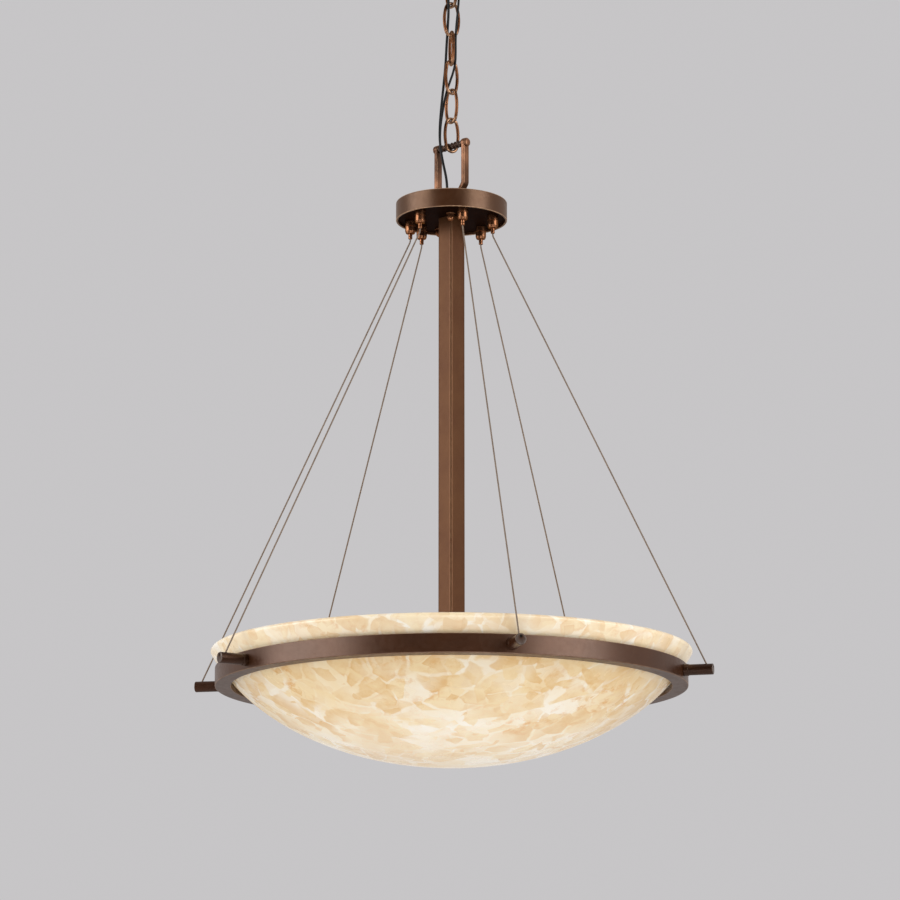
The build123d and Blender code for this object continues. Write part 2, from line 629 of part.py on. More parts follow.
def lampholder(angle):
    body_start = HOLDER_START + HOLDER_NECK + HOLDER_SHOULDER
    holder = turned(
        (NIPPLE_R + FIT, HOLDER_START), (HOLDER_NECK_R, HOLDER_START),
        (HOLDER_NECK_R, HOLDER_START + HOLDER_NECK), (holder_r, body_start), (holder_r, holder_mouth),
        (cavity_r, holder_mouth), (cavity_r, cavity_floor), (0, cavity_floor),
        (0, ARM_END + FIT), (NIPPLE_R + FIT, ARM_END + FIT))
    return Rot(0, 0, angle) * Pos(0, 0, lamp_z) * along_x(holder)


def screw_shell(angle):
    shell = sleeve(shell_r, shell_r - SHELL_WALL, cavity_floor, cavity_floor + SHELL_LENGTH)
    return Rot(0, 0, angle) * Pos(0, 0, lamp_z) * along_x(shell)


def bulb_cap(angle):
    start = cavity_floor + BULB_CONTACT
    cap = post(BULB_CAP_R, start, bulb_cap_end) + post(BULB_CONTACT_R, cavity_floor, start)
    return Rot(0, 0, angle) * Pos(0, 0, lamp_z) * along_x(cap)


def bulb_glass(angle):
    """A blown envelope: a neck that swells into a ball, open where it meets its cap."""
    ball = bulb_cap_end + BULB_LENGTH - BULB_R
    neck_r = BULB_CAP_R - BULB_NECK_INSET
    neck = bulb_cap_end + neck_r

    def envelope(inset):
        tip = ball + BULB_R - inset
        sides = Line((neck_r - inset, bulb_cap_end), (neck_r - inset, neck))
        swell = Spline((neck_r - inset, neck), (BULB_R - inset, ball), tangents=((0, 1), (0, 1)))
        crown = ThreePointArc(
            (BULB_R - inset, ball),
            ((BULB_R - inset) * cos(pi / 4), ball + (BULB_R - inset) * sin(pi / 4)), (0, tip))
        return [sides, swell, crown]

    outer = envelope(0)
    inner = envelope(BULB_WALL)
    ends = [Line(outer[0] @ 0, inner[0] @ 0), Line(outer[2] @ 1, inner[2] @ 1)]
    glass = revolve(Plane.XZ * make_face(outer + inner + ends), Axis.Z)
    return Rot(0, 0, angle) * Pos(0, 0, lamp_z) * along_x(glass)


# Cord and wire
def laced(name, points, radius):
    """A tube along straight runs joined by arcs as large as the runs allow."""
    points = [Vector(*p) for p in points]
    runs = [b - a for a, b in zip(points, points[1:])]
    radii = []
    for before, after in zip(runs, runs[1:]):
        half_turn = radians(before.get_angle(after)) / 2
        radii.append(CORD_ARC_SHARE * min(before.length, after.length) / tan(half_turn))
    path = FilletPolyline(*points, radius=radii)
    tube = swept(path, Circle(radius))
    share = tube.volume / (pi * radius ** 2 * path.length)
    print(f"{name}: length {path.length:.1f}, tightest arc {min(radii):.1f}, volume share {share:.4f}")
    return tube


def group(maker, *lists):
    """Like pieces made one by one and kept as separate solids of one node."""
    return Compound(children=[maker(*values) for values in zip(*lists)])


pieces = {
    "canopy": canopy(),
    "crossbar": crossbar(),
    "ground_screw": ground_screw(),
    "canopy_nipple": canopy_nipple(),
    "nipple_lock_nut": nipple_lock_nut(),
    "canopy_collar": canopy_collar(),
    "canopy_loop": canopy_loop(),
    "yoke_strap": yoke_strap(),
    "yoke_rod": yoke_rod(),
    "yoke_cap_nuts": yoke_cap_nuts(),
    "yoke_bolt": yoke_bolt(),
    "hub_cup": hub_cup(),
    "hub_plate": hub_plate(),
    "plate_cap_nuts": plate_cap_nuts(),
    "cord_bushing": cord_bushing(),
    "gripper_barrels": group(gripper_barrel, GRIPPER_ANGLES),
    "gripper_nuts": group(gripper_nut, GRIPPER_ANGLES),
    "gripper_springs": group(gripper_spring, GRIPPER_ANGLES),
    "ring": ring(),
    "ring_pins": group(ring_pin, GRIPPER_ANGLES, PIN_ANGLES),
    "pin_screws": group(pin_screw, PIN_ANGLES),
    "set_screws": group(set_screw, PIN_ANGLES),
    "bowl_pads": bowl_pads(),
    "bowl": bowl(),
    "stem": stem(),
    "stem_upper_plug": stem_plug(hub_ceiling - PLUG_HEIGHT, YOKE_BOLT_R),
    "stem_lower_plug": stem_plug(stem_low, NIPPLE_R),
    "cluster_nipple": cluster_nipple(),
    "cluster_lock_nut": cluster_lock_nut(),
    "cluster_body": cluster_body(),
    "lamp_arms": group(lamp_arm, LAMP_ANGLES),
    "screw_shells": group(screw_shell, LAMP_ANGLES),
    "bulb_caps": group(bulb_cap, LAMP_ANGLES),
    "supply_cord": laced("supply_cord", CORD_POINTS, CORD_R),
    "earth_wire": laced("earth_wire", WIRE_POINTS, WIRE_R),
}
for number in LINK_TURNS:
    pieces[f"chain_link_{number}"] = chain_link(number)
for number, angle in enumerate(LAMP_ANGLES, 1):
    pieces[f"lampholder_{number}"] = lampholder(angle)
    pieces[f"bulb_{number}"] = bulb_glass(angle)
for number, (gripper_angle, pin_angle) in enumerate(zip(GRIPPER_ANGLES, PIN_ANGLES), 1):
    pieces[f"gripper_plunger_{number}"] = gripper_plunger(gripper_angle)
    pieces[f"cable_{number}"] = cable(gripper_angle, pin_angle)

os.makedirs("parts", exist_ok=True)
for name, shape in pieces.items():
    export_step(shape, f"parts/{name}.step")
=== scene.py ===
from math import acos, atan2, pi, radians, tan

import bpy
import numpy as np
from bpy.props import FloatProperty, FloatVectorProperty, IntProperty, PointerProperty
from bpy.types import Operator, Panel, PropertyGroup
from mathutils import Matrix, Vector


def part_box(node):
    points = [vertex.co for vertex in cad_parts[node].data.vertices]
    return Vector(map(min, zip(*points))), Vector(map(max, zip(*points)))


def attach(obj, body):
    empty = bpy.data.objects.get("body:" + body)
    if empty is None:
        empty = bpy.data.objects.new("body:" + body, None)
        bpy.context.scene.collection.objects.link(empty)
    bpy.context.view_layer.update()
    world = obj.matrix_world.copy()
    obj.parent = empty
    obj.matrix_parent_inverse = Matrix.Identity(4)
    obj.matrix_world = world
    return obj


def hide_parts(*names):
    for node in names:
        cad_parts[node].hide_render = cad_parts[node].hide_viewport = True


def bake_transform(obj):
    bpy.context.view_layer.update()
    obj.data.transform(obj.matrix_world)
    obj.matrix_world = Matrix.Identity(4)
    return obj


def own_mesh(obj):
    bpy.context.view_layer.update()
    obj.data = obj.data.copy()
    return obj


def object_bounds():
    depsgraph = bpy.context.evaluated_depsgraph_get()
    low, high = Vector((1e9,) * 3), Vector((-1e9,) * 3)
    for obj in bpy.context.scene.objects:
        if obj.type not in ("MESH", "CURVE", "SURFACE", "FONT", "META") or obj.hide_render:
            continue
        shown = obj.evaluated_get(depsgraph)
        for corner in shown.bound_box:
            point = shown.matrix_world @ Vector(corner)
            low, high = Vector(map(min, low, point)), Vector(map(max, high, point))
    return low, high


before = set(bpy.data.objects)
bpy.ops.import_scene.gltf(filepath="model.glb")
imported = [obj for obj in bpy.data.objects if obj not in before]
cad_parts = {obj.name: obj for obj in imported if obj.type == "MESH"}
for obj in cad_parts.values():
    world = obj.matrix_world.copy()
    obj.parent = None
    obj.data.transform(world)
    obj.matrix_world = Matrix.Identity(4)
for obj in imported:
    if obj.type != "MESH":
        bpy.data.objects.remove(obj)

bl_info = {
    "name": "Bowl pendant light",
    "version": (1, 0, 0),
    "blender": (4, 5, 0),
    "location": "3D View > Sidebar > Pendant",
    "description": "Dresses a chain-hung bowl pendant light around its CAD frame",
    "category": "Add Mesh",
}

cad_low, cad_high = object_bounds()

# Everything is in metres. Plan angles are counted from +X towards +Y, and -Y faces the viewer.
UP = np.array([0.0, 0.0, 1.0])
PIN_ANGLES = (284.0, 213.0, 168.0, 126.0, 57.0, 345.0)
LINK_TURNS = {6: 130.0, 5: 20.0, 4: 103.0, 3: 42.0, 2: -46.0, 1: 32.0}
LAMP_ANGLES = (90.0, 210.0, 330.0)
LOOP_TURN, YOKE_TURN, STEM_TURN, NUT_TURN = 10.0, -44.0, 42.5, 12.0
LINK_WIRE_R = 0.0017
SMOOTH_ANGLE = radians(38)

# Radius and plan angle of the two studs under the hub's plate
STUDS = ((0.021, 267.3), (0.042, 108.0))

# Routes of the supply cord and the earth wire, from the canopy's nipple to the hub's bushing
CORD_POINTS = (
    (-0.0013, 0.0, -0.002), (-0.0013, 0.0, -0.0345), (-0.0026, -0.0016, -0.043),
    (-0.0034, -0.0041, -0.0515), (-0.0039, -0.0058, -0.062), (-0.0036, -0.0063, -0.074),
    (-0.0031, -0.0054, -0.0865), (-0.0032, -0.0028, -0.098), (-0.0039, 0.0004, -0.1095),
    (-0.0047, 0.0027, -0.1215), (-0.0054, 0.0034, -0.134), (-0.006, 0.0029, -0.147),
    (-0.0069, 0.0015, -0.16), (-0.0082, -0.0003, -0.174), (-0.0096, -0.0019, -0.189),
    (-0.0111, -0.0035, -0.205), (-0.0123, -0.005, -0.222), (-0.0124, -0.0067, -0.238),
    (-0.0107, -0.0088, -0.254), (-0.0079, -0.012, -0.269), (-0.0055, -0.015, -0.281),
    (-0.0044, -0.0173, -0.2935), (-0.0044, -0.0173, -0.3075))
WIRE_POINTS = (
    (0.0016, 0.0, -0.002), (0.0016, 0.0, -0.0345), (0.0028, -0.0016, -0.043),
    (0.0058, -0.0027, -0.0515), (0.0077, -0.0032, -0.062), (0.008, -0.0035, -0.074),
    (0.0074, -0.0034, -0.087), (0.0061, -0.0032, -0.1), (0.0049, -0.0027, -0.113),
    (0.0043, -0.0021, -0.126), (0.0044, -0.0015, -0.1385), (0.0042, -0.0009, -0.1505),
    (0.0017, -0.0003, -0.162), (-0.002, 0.0, -0.1725), (-0.0054, 0.0002, -0.183),
    (-0.0079, 0.0001, -0.1955), (-0.0101, -0.0004, -0.209), (-0.0118, -0.0015, -0.223),
    (-0.0122, -0.0032, -0.238), (-0.0107, -0.0054, -0.253), (-0.008, -0.0088, -0.268),
    (-0.0055, -0.0118, -0.28), (-0.0044, -0.0143, -0.2926), (-0.0044, -0.0143, -0.3075))

# Layers of stone chips: chips per metre, seed, stretch, share of the chips that is kept, and cover
CHIP_LAYERS = (
    (24.0, 0.31, (1.0, 1.4, 0.9), 0.80, 0.9), (33.0, 1.17, (1.3, 0.9, 1.1), 0.66, 0.9),
    (45.0, 2.05, (0.9, 1.2, 1.4), 0.50, 0.85), (78.0, 2.93, (1.0, 1.0, 1.0), 0.22, 0.8))

# Soft lights: place, width, height and power in watts
LIGHTS = {
    "left_light": ((-3.2, -1.15, 0.0), 3.1, 2.4, 93.0),
    "right_light": ((2.75, -1.85, 0.05), 2.3, 2.5, 82.0),
    "front_light": ((0.2, -2.4, -2.25), 1.6, 1.6, 20.0),
}


def heights(node):
    """Lowest and highest Z of a CAD node."""
    low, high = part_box(node)
    return low.z, high.z


def plan_place(node):
    """Middle of a CAD node seen from above, at height 0."""
    low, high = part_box(node)
    return np.array([(low.x + high.x) / 2, (low.y + high.y) / 2, 0.0])


# Heights and radii that several pieces share
ring_low, ring_top = heights("ring")
ring_middle = (ring_low + ring_top) / 2
ring_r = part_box("ring")[1].x
hub_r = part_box("hub_cup")[1].x
hub_top = heights("hub_cup")[1]
plate_low = heights("hub_plate")[0]
barrel_low, spigot_top = heights("gripper_barrels")
plunger_low = heights("gripper_plunger_1")[0]
rod_z = sum(heights("yoke_rod")) / 2
link_middles = {number: sum(heights(f"chain_link_{number}")) / 2 for number in LINK_TURNS}


def length_property(name, description, default):
    """A length that a user may change."""
    return FloatProperty(name=name, description=description, default=default, unit="LENGTH")


def colour_property(name, description, default):
    """A colour that a user may change."""
    return FloatVectorProperty(
        name=name, description=description, default=default, subtype="COLOR", size=3, min=0.0, max=1.0)


class PendantSizes(PropertyGroup):
    """Sizes that the frame's boxes don't give."""
    bowl_half_width: length_property("Bowl half width", "Half width of the bowl's ellipse", 0.26304)
    bowl_half_height: length_property("Bowl half height", "Half height of the bowl's ellipse", 0.1799)
    bowl_wall: length_property("Bowl wall", "Thickness of the bowl", 0.006)
    bowl_lip: length_property("Bowl lip", "Height of the bowl's rounded lip", 0.0034)
    ring_wall: length_property("Ring wall", "Thickness of the ring's upright wall", 0.0035)
    ring_ledge: length_property("Ring ledge", "Width of the ring's flange inside its wall", 0.0128)
    ring_flange: length_property("Ring flange", "Thickness of the ring's flange", 0.006)
    pin_length: length_property("Pin length", "How far a pin stands out of the ring", 0.030)
    hub_height: length_property("Hub height", "Height of the hub's wall", 0.0197)
    hub_wall: length_property("Hub wall", "Thickness of the hub's wall", 0.002)
    stem_side: length_property("Stem side", "Side of the square stem", 0.0203)
    cable_diameter: length_property("Cable", "Diameter of a suspension cable", 0.0016)
    cord_diameter: length_property("Supply cord", "Diameter of the supply cord", 0.0027)
    wire_diameter: length_property("Earth wire", "Diameter of the earth wire", 0.0024)
    round_steps: IntProperty(
        name="Round steps", description="Segments round a large turned piece", default=256, min=32, max=512)


class PendantColours(PropertyGroup):
    """Colours of the finishes and of the stage."""
    bronze: colour_property("Bronze", "Body of the dark bronze finish", (0.064, 0.019, 0.005))
    bronze_deep: colour_property("Deep bronze", "Darker clouds in the bronze", (0.048, 0.014, 0.0035))
    # The rubbed colour paints edge wear together with a painted highlight along rounded edges.
    bronze_rub_and_sheen: colour_property("Rubbed bronze", "Bronze where an edge is rubbed", (0.50, 0.31, 0.19))
    # The stem's bronze is the ring's paint; this warmer copy, with its own gloss, paints the stem's light and
    # shade.
    stem_shaded_bronze: colour_property("Stem bronze", "Warmer bronze of the stem", (0.080, 0.028, 0.008))
    pin_bronze: colour_property("Pin bronze", "Nearly black bronze of the pins", (0.030, 0.011, 0.005))
    pin_face: colour_property("Pin face", "Greyer end faces of the pins", (0.135, 0.108, 0.094))
    # The hub's underside is painted near black, for the shade in the recess under the hub.
    hub_underside_shade: colour_property("Blackened", "Underside of the hub", (0.030, 0.012, 0.006))
    chain: colour_property("Chain", "Copper brown of the chain", (0.262, 0.112, 0.054))
    gripper: colour_property("Gripper", "Copper of the cable grippers", (0.215, 0.090, 0.043))
    steel: colour_property("Steel", "Zinc plated steel", (0.55, 0.55, 0.55))
    dark_steel: colour_property("Dark steel", "Oiled steel of the yoke's bolt", (0.040, 0.020, 0.012))
    cable: colour_property("Cable", "Bronzed wire rope", (0.235, 0.175, 0.130))
    cord: colour_property("Cord", "Black cord jacket", (0.0045, 0.0045, 0.0045))
    resin: colour_property("Resin", "Clear cream resin between the chips", (0.915, 0.875, 0.785))
    chip_pale: colour_property("Pale chip", "Palest stone chips", (0.855, 0.685, 0.41))
    chip_tan: colour_property("Tan chip", "Darker stone chips", (0.735, 0.485, 0.21))
    chip_rust: colour_property("Rust stain", "Orange stains in the stone", (0.70, 0.375, 0.10))
    porcelain: colour_property("Porcelain", "Glaze of the lampholders", (0.80, 0.79, 0.75))
    bulb: colour_property("Bulb", "Frosted white of the bulbs", (0.90, 0.86, 0.78))
    floor: colour_property("Floor", "Pale floor", (0.86, 0.85, 0.85))
    surround: colour_property("Surround", "Pale light all round", (0.57, 0.56, 0.57))
    studio: colour_property("Studio", "Darker light from the viewer's side", (0.06, 0.058, 0.056))


# Arrays and meshes
class Shape:
    """Points, four-sided and three-sided faces, and how much wear and painted sheen each point shows, from 0
    to 1.
    """

    def __init__(self, points, quads, triangles, wear_and_sheen):
        self.points, self.quads, self.triangles, self.wear_and_sheen = points, quads, triangles, wear_and_sheen


def unit(vectors):
    """Vectors of the same direction and of length one."""
    vectors = np.asarray(vectors, float)
    return vectors / np.maximum(np.linalg.norm(vectors, axis=-1, keepdims=True), 1e-12)


def plan(angle):
    """The unit vector at a plan angle."""
    return np.array([np.cos(radians(angle)), np.sin(radians(angle)), 0.0])


def upright(drawing, turn):
    """Points (across, height) of a drawing that stands in the upright plane at a plan angle."""
    return drawing[:, :1] * plan(turn) + drawing[:, 1:] * UP


def angles(count):
    """Even angles once round."""
    return np.linspace(0, 2 * pi, count, endpoint=False)


def arc(radius, angle):
    """Points on a circle at some angles."""
    return np.stack([radius * np.cos(angle), radius * np.sin(angle)], axis=-1)


def circle(radius, sides):
    """A round section."""
    return arc(radius, angles(sides))


def rounded(corners, radii, closed=True, steps=6):
    """Replace each corner of an outline by an arc that touches both its sides, with a point held on each
    side just outside the arc. Points on the arc of a corner are marked for wear and a painted sheen, most in
    the middle of the arc."""
    hold = 1.4
    corners = np.asarray(corners, float)
    radii = np.broadcast_to(np.asarray(radii, float), len(corners))
    back = unit(np.roll(corners, 1, axis=0) - corners)
    ahead = unit(np.roll(corners, -1, axis=0) - corners)
    half = np.arccos(np.clip((back * ahead).sum(1), -0.999999, 0.999999)) / 2
    reach = (radii / np.tan(half))[:, None]
    centres = corners + unit(back + ahead) * (radii / np.sin(half))[:, None]
    start = corners + back * reach - centres
    end = corners + ahead * reach - centres
    turn = np.maximum(pi - 2 * half, 1e-6)[:, None, None]
    along = np.linspace(0, 1, steps + 1)[None, :, None]
    arcs = np.sin((1 - along) * turn) * start[:, None] + np.sin(along * turn) * end[:, None]
    arcs = centres[:, None] + arcs / np.sin(turn)
    before, after = ((corners + side * reach * hold)[:, None] for side in (back, ahead))
    points = np.concatenate([before, arcs, after], axis=1).reshape(-1, 2)
    wear_and_sheen = np.broadcast_to(np.sin(pi * along[0, :, 0]), (len(corners), steps + 1))
    wear_and_sheen = np.pad(wear_and_sheen * (radii > 0)[:, None], ((0, 0), (1, 1))).reshape(-1)
    if not closed:
        inner = slice(steps + 2, len(points) - steps - 2)
        points = np.concatenate([corners[:1], points[inner], corners[-1:]])
        wear_and_sheen = np.concatenate([[0], wear_and_sheen[inner], [0]])
    fresh = np.concatenate([[True], np.linalg.norm(np.diff(points, axis=0), axis=1) > 1e-7])
    return points[fresh], wear_and_sheen[fresh]


def square(half, corner_r, steps=8):
    """A square with rounded corners."""
    return rounded([(-half, -half), (half, -half), (half, half), (-half, half)], corner_r, steps=steps)


def skin(rings, along_closed=False, poles=(None, None), wear_and_sheen=0.0):
    """Faces between rings of points, each ring closed on itself, with the ends closed by fans to two poles.
    The faces are turned so that the volume that they enclose is positive."""
    count, sides = rings.shape[:2]
    points = rings.reshape(-1, 3)
    wear_and_sheen = np.broadcast_to(wear_and_sheen, (count, sides)).reshape(-1)
    index = np.arange(count * sides).reshape(count, sides)
    index = np.vstack([index, index[:1]]) if along_closed else index
    index = np.hstack([index, index[:, :1]])
    corners = (index[:-1, :-1], index[:-1, 1:], index[1:, 1:], index[1:, :-1])
    quads = np.stack(corners, axis=-1).reshape(-1, 4)
    triangles = np.zeros((0, 3), int)
    ends = ((poles[0], index[0, 1:], index[0, :-1]), (poles[1], index[-1, :-1], index[-1, 1:]))
    for pole, first, second in ends:
        if pole is not None:
            tip = np.full(sides, len(points))
            points = np.vstack([points, pole])
            wear_and_sheen = np.append(wear_and_sheen, 0.0)
            triangles = np.vstack([triangles, np.stack([first, second, tip], axis=-1)])
    fans = np.vstack([quads[:, [0, 1, 2]], quads[:, [0, 2, 3]], triangles])
    a, b, c = (points[fans[:, i]] for i in range(3))
    if (a * np.cross(b, c)).sum() < 0:
        quads, triangles = quads[:, ::-1], triangles[:, ::-1]
    return Shape(points, quads, triangles, wear_and_sheen)


def about_axis(reach, height, angle):
    """Rings about the Z axis, from each ring's radius and height at each plan angle."""
    reach = np.broadcast_to(reach, (len(height), len(angle)))
    return np.dstack([arc(reach, angle), np.broadcast_to(height, reach.shape)])


def turned(corners, radii=0.0, segments=48):
    """A turned piece: an outline of (radius, height) points, its corners rounded, swept about the Z axis.
    An outline that starts and ends on the axis is closed there by two poles."""
    outline, wear_and_sheen = rounded(corners, radii)
    on_axis = outline[0, 0] < 1e-9 and outline[-1, 0] < 1e-9
    poles = (None, None)
    if on_axis:
        poles = tuple(outline[end, 1] * UP for end in (0, -1))
        outline, wear_and_sheen = outline[1:-1], wear_and_sheen[1:-1]
    rings = about_axis(outline[:, :1], outline[:, 1:], angles(segments))
    return skin(rings, along_closed=not on_axis, poles=poles, wear_and_sheen=wear_and_sheen[:, None])


def carried(path, section, across, scale=None, closed=False, wear_and_sheen=0.0, trim=(0, 0)):
    """A section of (side, out) points carried along a path, square to it: side runs along the part of across
    that is square to the path, and out runs square to both. Each station may scale the section. Stations
    that are trimmed off the ends only set the slope there."""
    path = np.asarray(path, float)
    steps = np.roll(path, -1, axis=0) - np.roll(path, 1, axis=0) if closed else np.gradient(path, axis=0)
    ahead = unit(steps)
    across = np.broadcast_to(np.asarray(across, float), path.shape)
    side = unit(across - (across * ahead).sum(1, keepdims=True) * ahead)
    out = np.cross(ahead, side)
    section = np.broadcast_to(section, (len(path),) + section.shape[-2:])
    if scale is not None:
        section = section * scale[:, None, :]
    rings = path[:, None] + section[..., :1] * side[:, None] + section[..., 1:] * out[:, None]
    kept = slice(trim[0], len(path) - trim[1])
    poles = (None, None) if closed else path[kept][[0, -1]]
    return skin(rings[kept], along_closed=closed, poles=poles, wear_and_sheen=wear_and_sheen)


def placed(shape, origin, ahead=UP, turn=0.0):
    """Carry a shape from the Z axis to another one: +Z goes to ahead, the origin to another point, and the
    shape is first turned about its own axis by an angle."""
    ahead = unit(ahead)
    first = unit(np.cross(UP, ahead)) if abs(ahead[2]) < 0.9 else np.array([1.0, 0.0, 0.0])
    second = np.cross(ahead, first)
    c, s = np.cos(radians(turn)), np.sin(radians(turn))
    x, y, z = shape.points.T[:, :, None]
    points = (c * x - s * y) * first + (s * x + c * y) * second + z * ahead
    return Shape(points + np.asarray(origin, float), shape.quads, shape.triangles, shape.wear_and_sheen)


def joined(shapes):
    """Several shapes as one, each keeping its own points."""
    starts = np.cumsum([0] + [len(shape.points) for shape in shapes])
    return Shape(
        np.concatenate([shape.points for shape in shapes]),
        np.concatenate([shape.quads + start for shape, start in zip(shapes, starts)]),
        np.concatenate([shape.triangles + start for shape, start in zip(shapes, starts)]),
        np.concatenate([shape.wear_and_sheen for shape in shapes]))


def run_along(line):
    """Distance of each point of a line from the line's start, along the line."""
    return np.concatenate([[0], np.cumsum(np.linalg.norm(np.diff(line, axis=0), axis=1))])


def spaced(line, step):
    """Points at even distances along a line of close points."""
    run = run_along(line)
    at = np.linspace(0, run[-1], max(2, int(round(run[-1] / step)) + 1))
    return np.stack([np.interp(at, run, line[:, axis]) for axis in range(line.shape[1])], axis=1)


def route_line(points):
    """The points of a smooth spline whose control points are the route's points."""
    curve = bpy.data.curves.new("route", "CURVE")
    curve.dimensions = "3D"
    spline = curve.splines.new("NURBS")
    spline.points.add(len(points) - 1)
    spline.points.foreach_set("co", np.c_[np.asarray(points, float), np.ones(len(points))].ravel())
    spline.order_u = 3
    spline.use_endpoint_u = True
    spline.resolution_u = 24
    holder = bpy.data.objects.new("route", curve)
    mesh = bpy.data.meshes.new_from_object(holder)
    line = np.empty(len(mesh.vertices) * 3, np.float32)
    mesh.vertices.foreach_get("co", line)
    bpy.data.objects.remove(holder)
    bpy.data.meshes.remove(mesh)
    bpy.data.curves.remove(curve)
    return line.reshape(-1, 3).astype(float)


def make_piece(name, shape, finish, node, body="lamp", wear_and_sheen_amount=1.0):
    """A mesh object from a shape, in a named finish, on its body, standing for its CAD node. The amount is
    how much of its edges' wear and painted sheen the piece shows."""
    mesh = bpy.data.meshes.new(name)
    mesh.from_pydata(shape.points.tolist(), [], shape.quads.tolist() + shape.triangles.tolist())
    wear_and_sheen = mesh.attributes.new("wear_and_sheen", "FLOAT", "POINT")
    wear_and_sheen.data.foreach_set("value", (wear_and_sheen_amount * shape.wear_and_sheen).astype(np.float32))
    mesh.shade_smooth()
    mesh.set_sharp_from_angle(angle=SMOOTH_ANGLE)
    mesh.materials.append(finish_named(finish))
    piece = bpy.data.objects.new(name, mesh)
    bpy.context.scene.collection.objects.link(piece)
    if body:
        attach(piece, body)
    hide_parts(node)
    return piece


def dress(finish, *nodes):
    """Give CAD nodes that stay in view a named finish."""
    for node in nodes:
        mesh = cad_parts[node].data
        mesh.materials.clear()
        mesh.materials.append(finish_named(finish))


# Finishes
class Nodes:
    """A node tree whose nodes are added and linked by name."""

    def __init__(self, tree):
        self.tree = tree

    def give(self, socket, value):
        """Set a socket to a value or link an output to it."""
        if isinstance(value, bpy.types.NodeSocket):
            self.tree.links.new(value, socket)
        elif socket.type == "RGBA":
            socket.default_value = (*value, 1.0)
        else:
            socket.default_value = value

    def fill(self, node, sockets):
        """Give a node's sockets their values by name."""
        for key, value in sockets.items():
            self.give(node.inputs[key.replace("_", " ")], value)

    def add(self, kind, settings=None, **sockets):
        """A node with its settings and sockets."""
        node = self.tree.nodes.new(kind)
        for key, value in (settings or {}).items():
            setattr(node, key, value)
        self.fill(node, sockets)
        return node

    def arithmetic(self, kind, operation, values):
        """Outputs of a node that takes values in the order of its sockets."""
        node = self.add(kind, {"operation": operation})
        for socket, value in zip(node.inputs, values):
            self.give(socket, value)
        return node.outputs

    def number(self, operation, *values):
        """A number worked out from others."""
        return self.arithmetic("ShaderNodeMath", operation, values)[0]

    def times(self, first, second):
        """The product of two numbers."""
        return self.number("MULTIPLY", first, second)

    def vector(self, operation, *values):
        """A vector worked out from others."""
        return self.arithmetic("ShaderNodeVectorMath", operation, values)[0]

    def span(self, value, from_low, from_high, low=0.0, high=1.0, smooth=False):
        """Stretch a range of values over another one."""
        settings = {"interpolation_type": "SMOOTHSTEP"} if smooth else {}
        node = self.add("ShaderNodeMapRange", settings, Value=value, From_Min=from_low, From_Max=from_high,
                        To_Min=low, To_Max=high)
        return node.outputs["Result"]

    def mix(self, share, first, second, kind="MIX"):
        """A colour between two colours."""
        node = self.add("ShaderNodeMix", {"data_type": "RGBA", "blend_type": kind})
        for socket, value in ((0, share), (6, first), (7, second)):
            self.give(node.inputs[socket], value)
        return node.outputs[2]


class Finish(Nodes):
    """A material: its shader, and patterns that lie still in the object."""

    def __init__(self, name):
        material = bpy.data.materials.new(name)
        material.use_nodes = True
        super().__init__(material.node_tree)
        self.shader = self.tree.nodes["Principled BSDF"]
        self.place = self.add("ShaderNodeTexCoord").outputs["Object"]

    def set(self, **sockets):
        """Set the shader's own sockets."""
        self.fill(self.shader, sockets)

    def noise(self, scale, detail=4.0, fine=0.55):
        """Cloudy values from 0 to 1; scale is clouds per metre."""
        node = self.add("ShaderNodeTexNoise", Scale=scale, Detail=detail, Roughness=fine, Vector=self.place)
        return node.outputs["Fac"]

    def clouds(self, scale, low=0.0, high=1.0, detail=4.0, fine=0.55, start=0.3, end=0.7, smooth=False):
        """Cloudy values from low to high; start and end are the noise that they are stretched from."""
        return self.span(self.noise(scale, detail, fine), start, end, low, high, smooth)

    def wear_and_sheen(self):
        """How worn the surface is and where sheen is painted, from the piece's own attribute."""
        return self.add("ShaderNodeAttribute", {"attribute_name": "wear_and_sheen"}).outputs["Fac"]

    def bump(self, height, strength, distance):
        """A normal from heights."""
        node = self.add("ShaderNodeBump", Strength=strength, Distance=distance, Height=height)
        return node.outputs["Normal"]


def rubbed_metal_with_sheen(finish, colours, body, deep, edge, metallic, roughness, tint, gloss):
    """Plated metal: two tones in soft clouds, fine grain, and edges painted paler, partly for wear and partly
    as a painted highlight along rounded edges.
    """
    body, deep, edge = (getattr(colours, name) for name in (body, deep, edge))
    colour = finish.mix(finish.clouds(28.0, detail=5.0, start=0.35, end=0.68), deep, body)
    grain = finish.noise(900.0, 3.0)
    colour = finish.mix(finish.span(grain, 0.3, 0.7, 0.0, 0.02), colour, edge)
    # Marked edges are painted paler: partly wear, partly a painted highlight.
    rubbing_and_sheen = finish.times(finish.wear_and_sheen(), finish.clouds(160.0, 0.4, end=0.62))
    finish.set(Base_Color=finish.mix(rubbing_and_sheen, colour, edge), Metallic=metallic, Specular_Tint=tint,
               Specular_IOR_Level=gloss, Normal=finish.bump(grain, 0.05, 0.0002),
               Roughness=finish.clouds(220.0, roughness - 0.05, roughness + 0.07, 6.0, 0.6))


def plated_steel(finish, colours, colour, roughness):
    """Plated steel with fine grain and dull clouds."""
    grain = finish.noise(1400.0, 3.0)
    tone = finish.mix(finish.clouds(90.0, 0.0, 0.35), getattr(colours, colour), (0.25, 0.24, 0.23))
    finish.set(Base_Color=tone, Roughness=finish.span(grain, 0.3, 0.7, roughness - 0.05, roughness + 0.1),
               Metallic=0.95, Normal=finish.bump(grain, 0.05, 0.0001))


def bronzed_rope(finish, colours):
    """Wire rope: bronzed steel, darker in patches along its length."""
    finish.set(Base_Color=finish.mix(finish.clouds(120.0), colours.cable, (0.175, 0.125, 0.090)),
               Roughness=finish.clouds(2000.0, 0.60, 0.70, 2.0), Metallic=0.15)


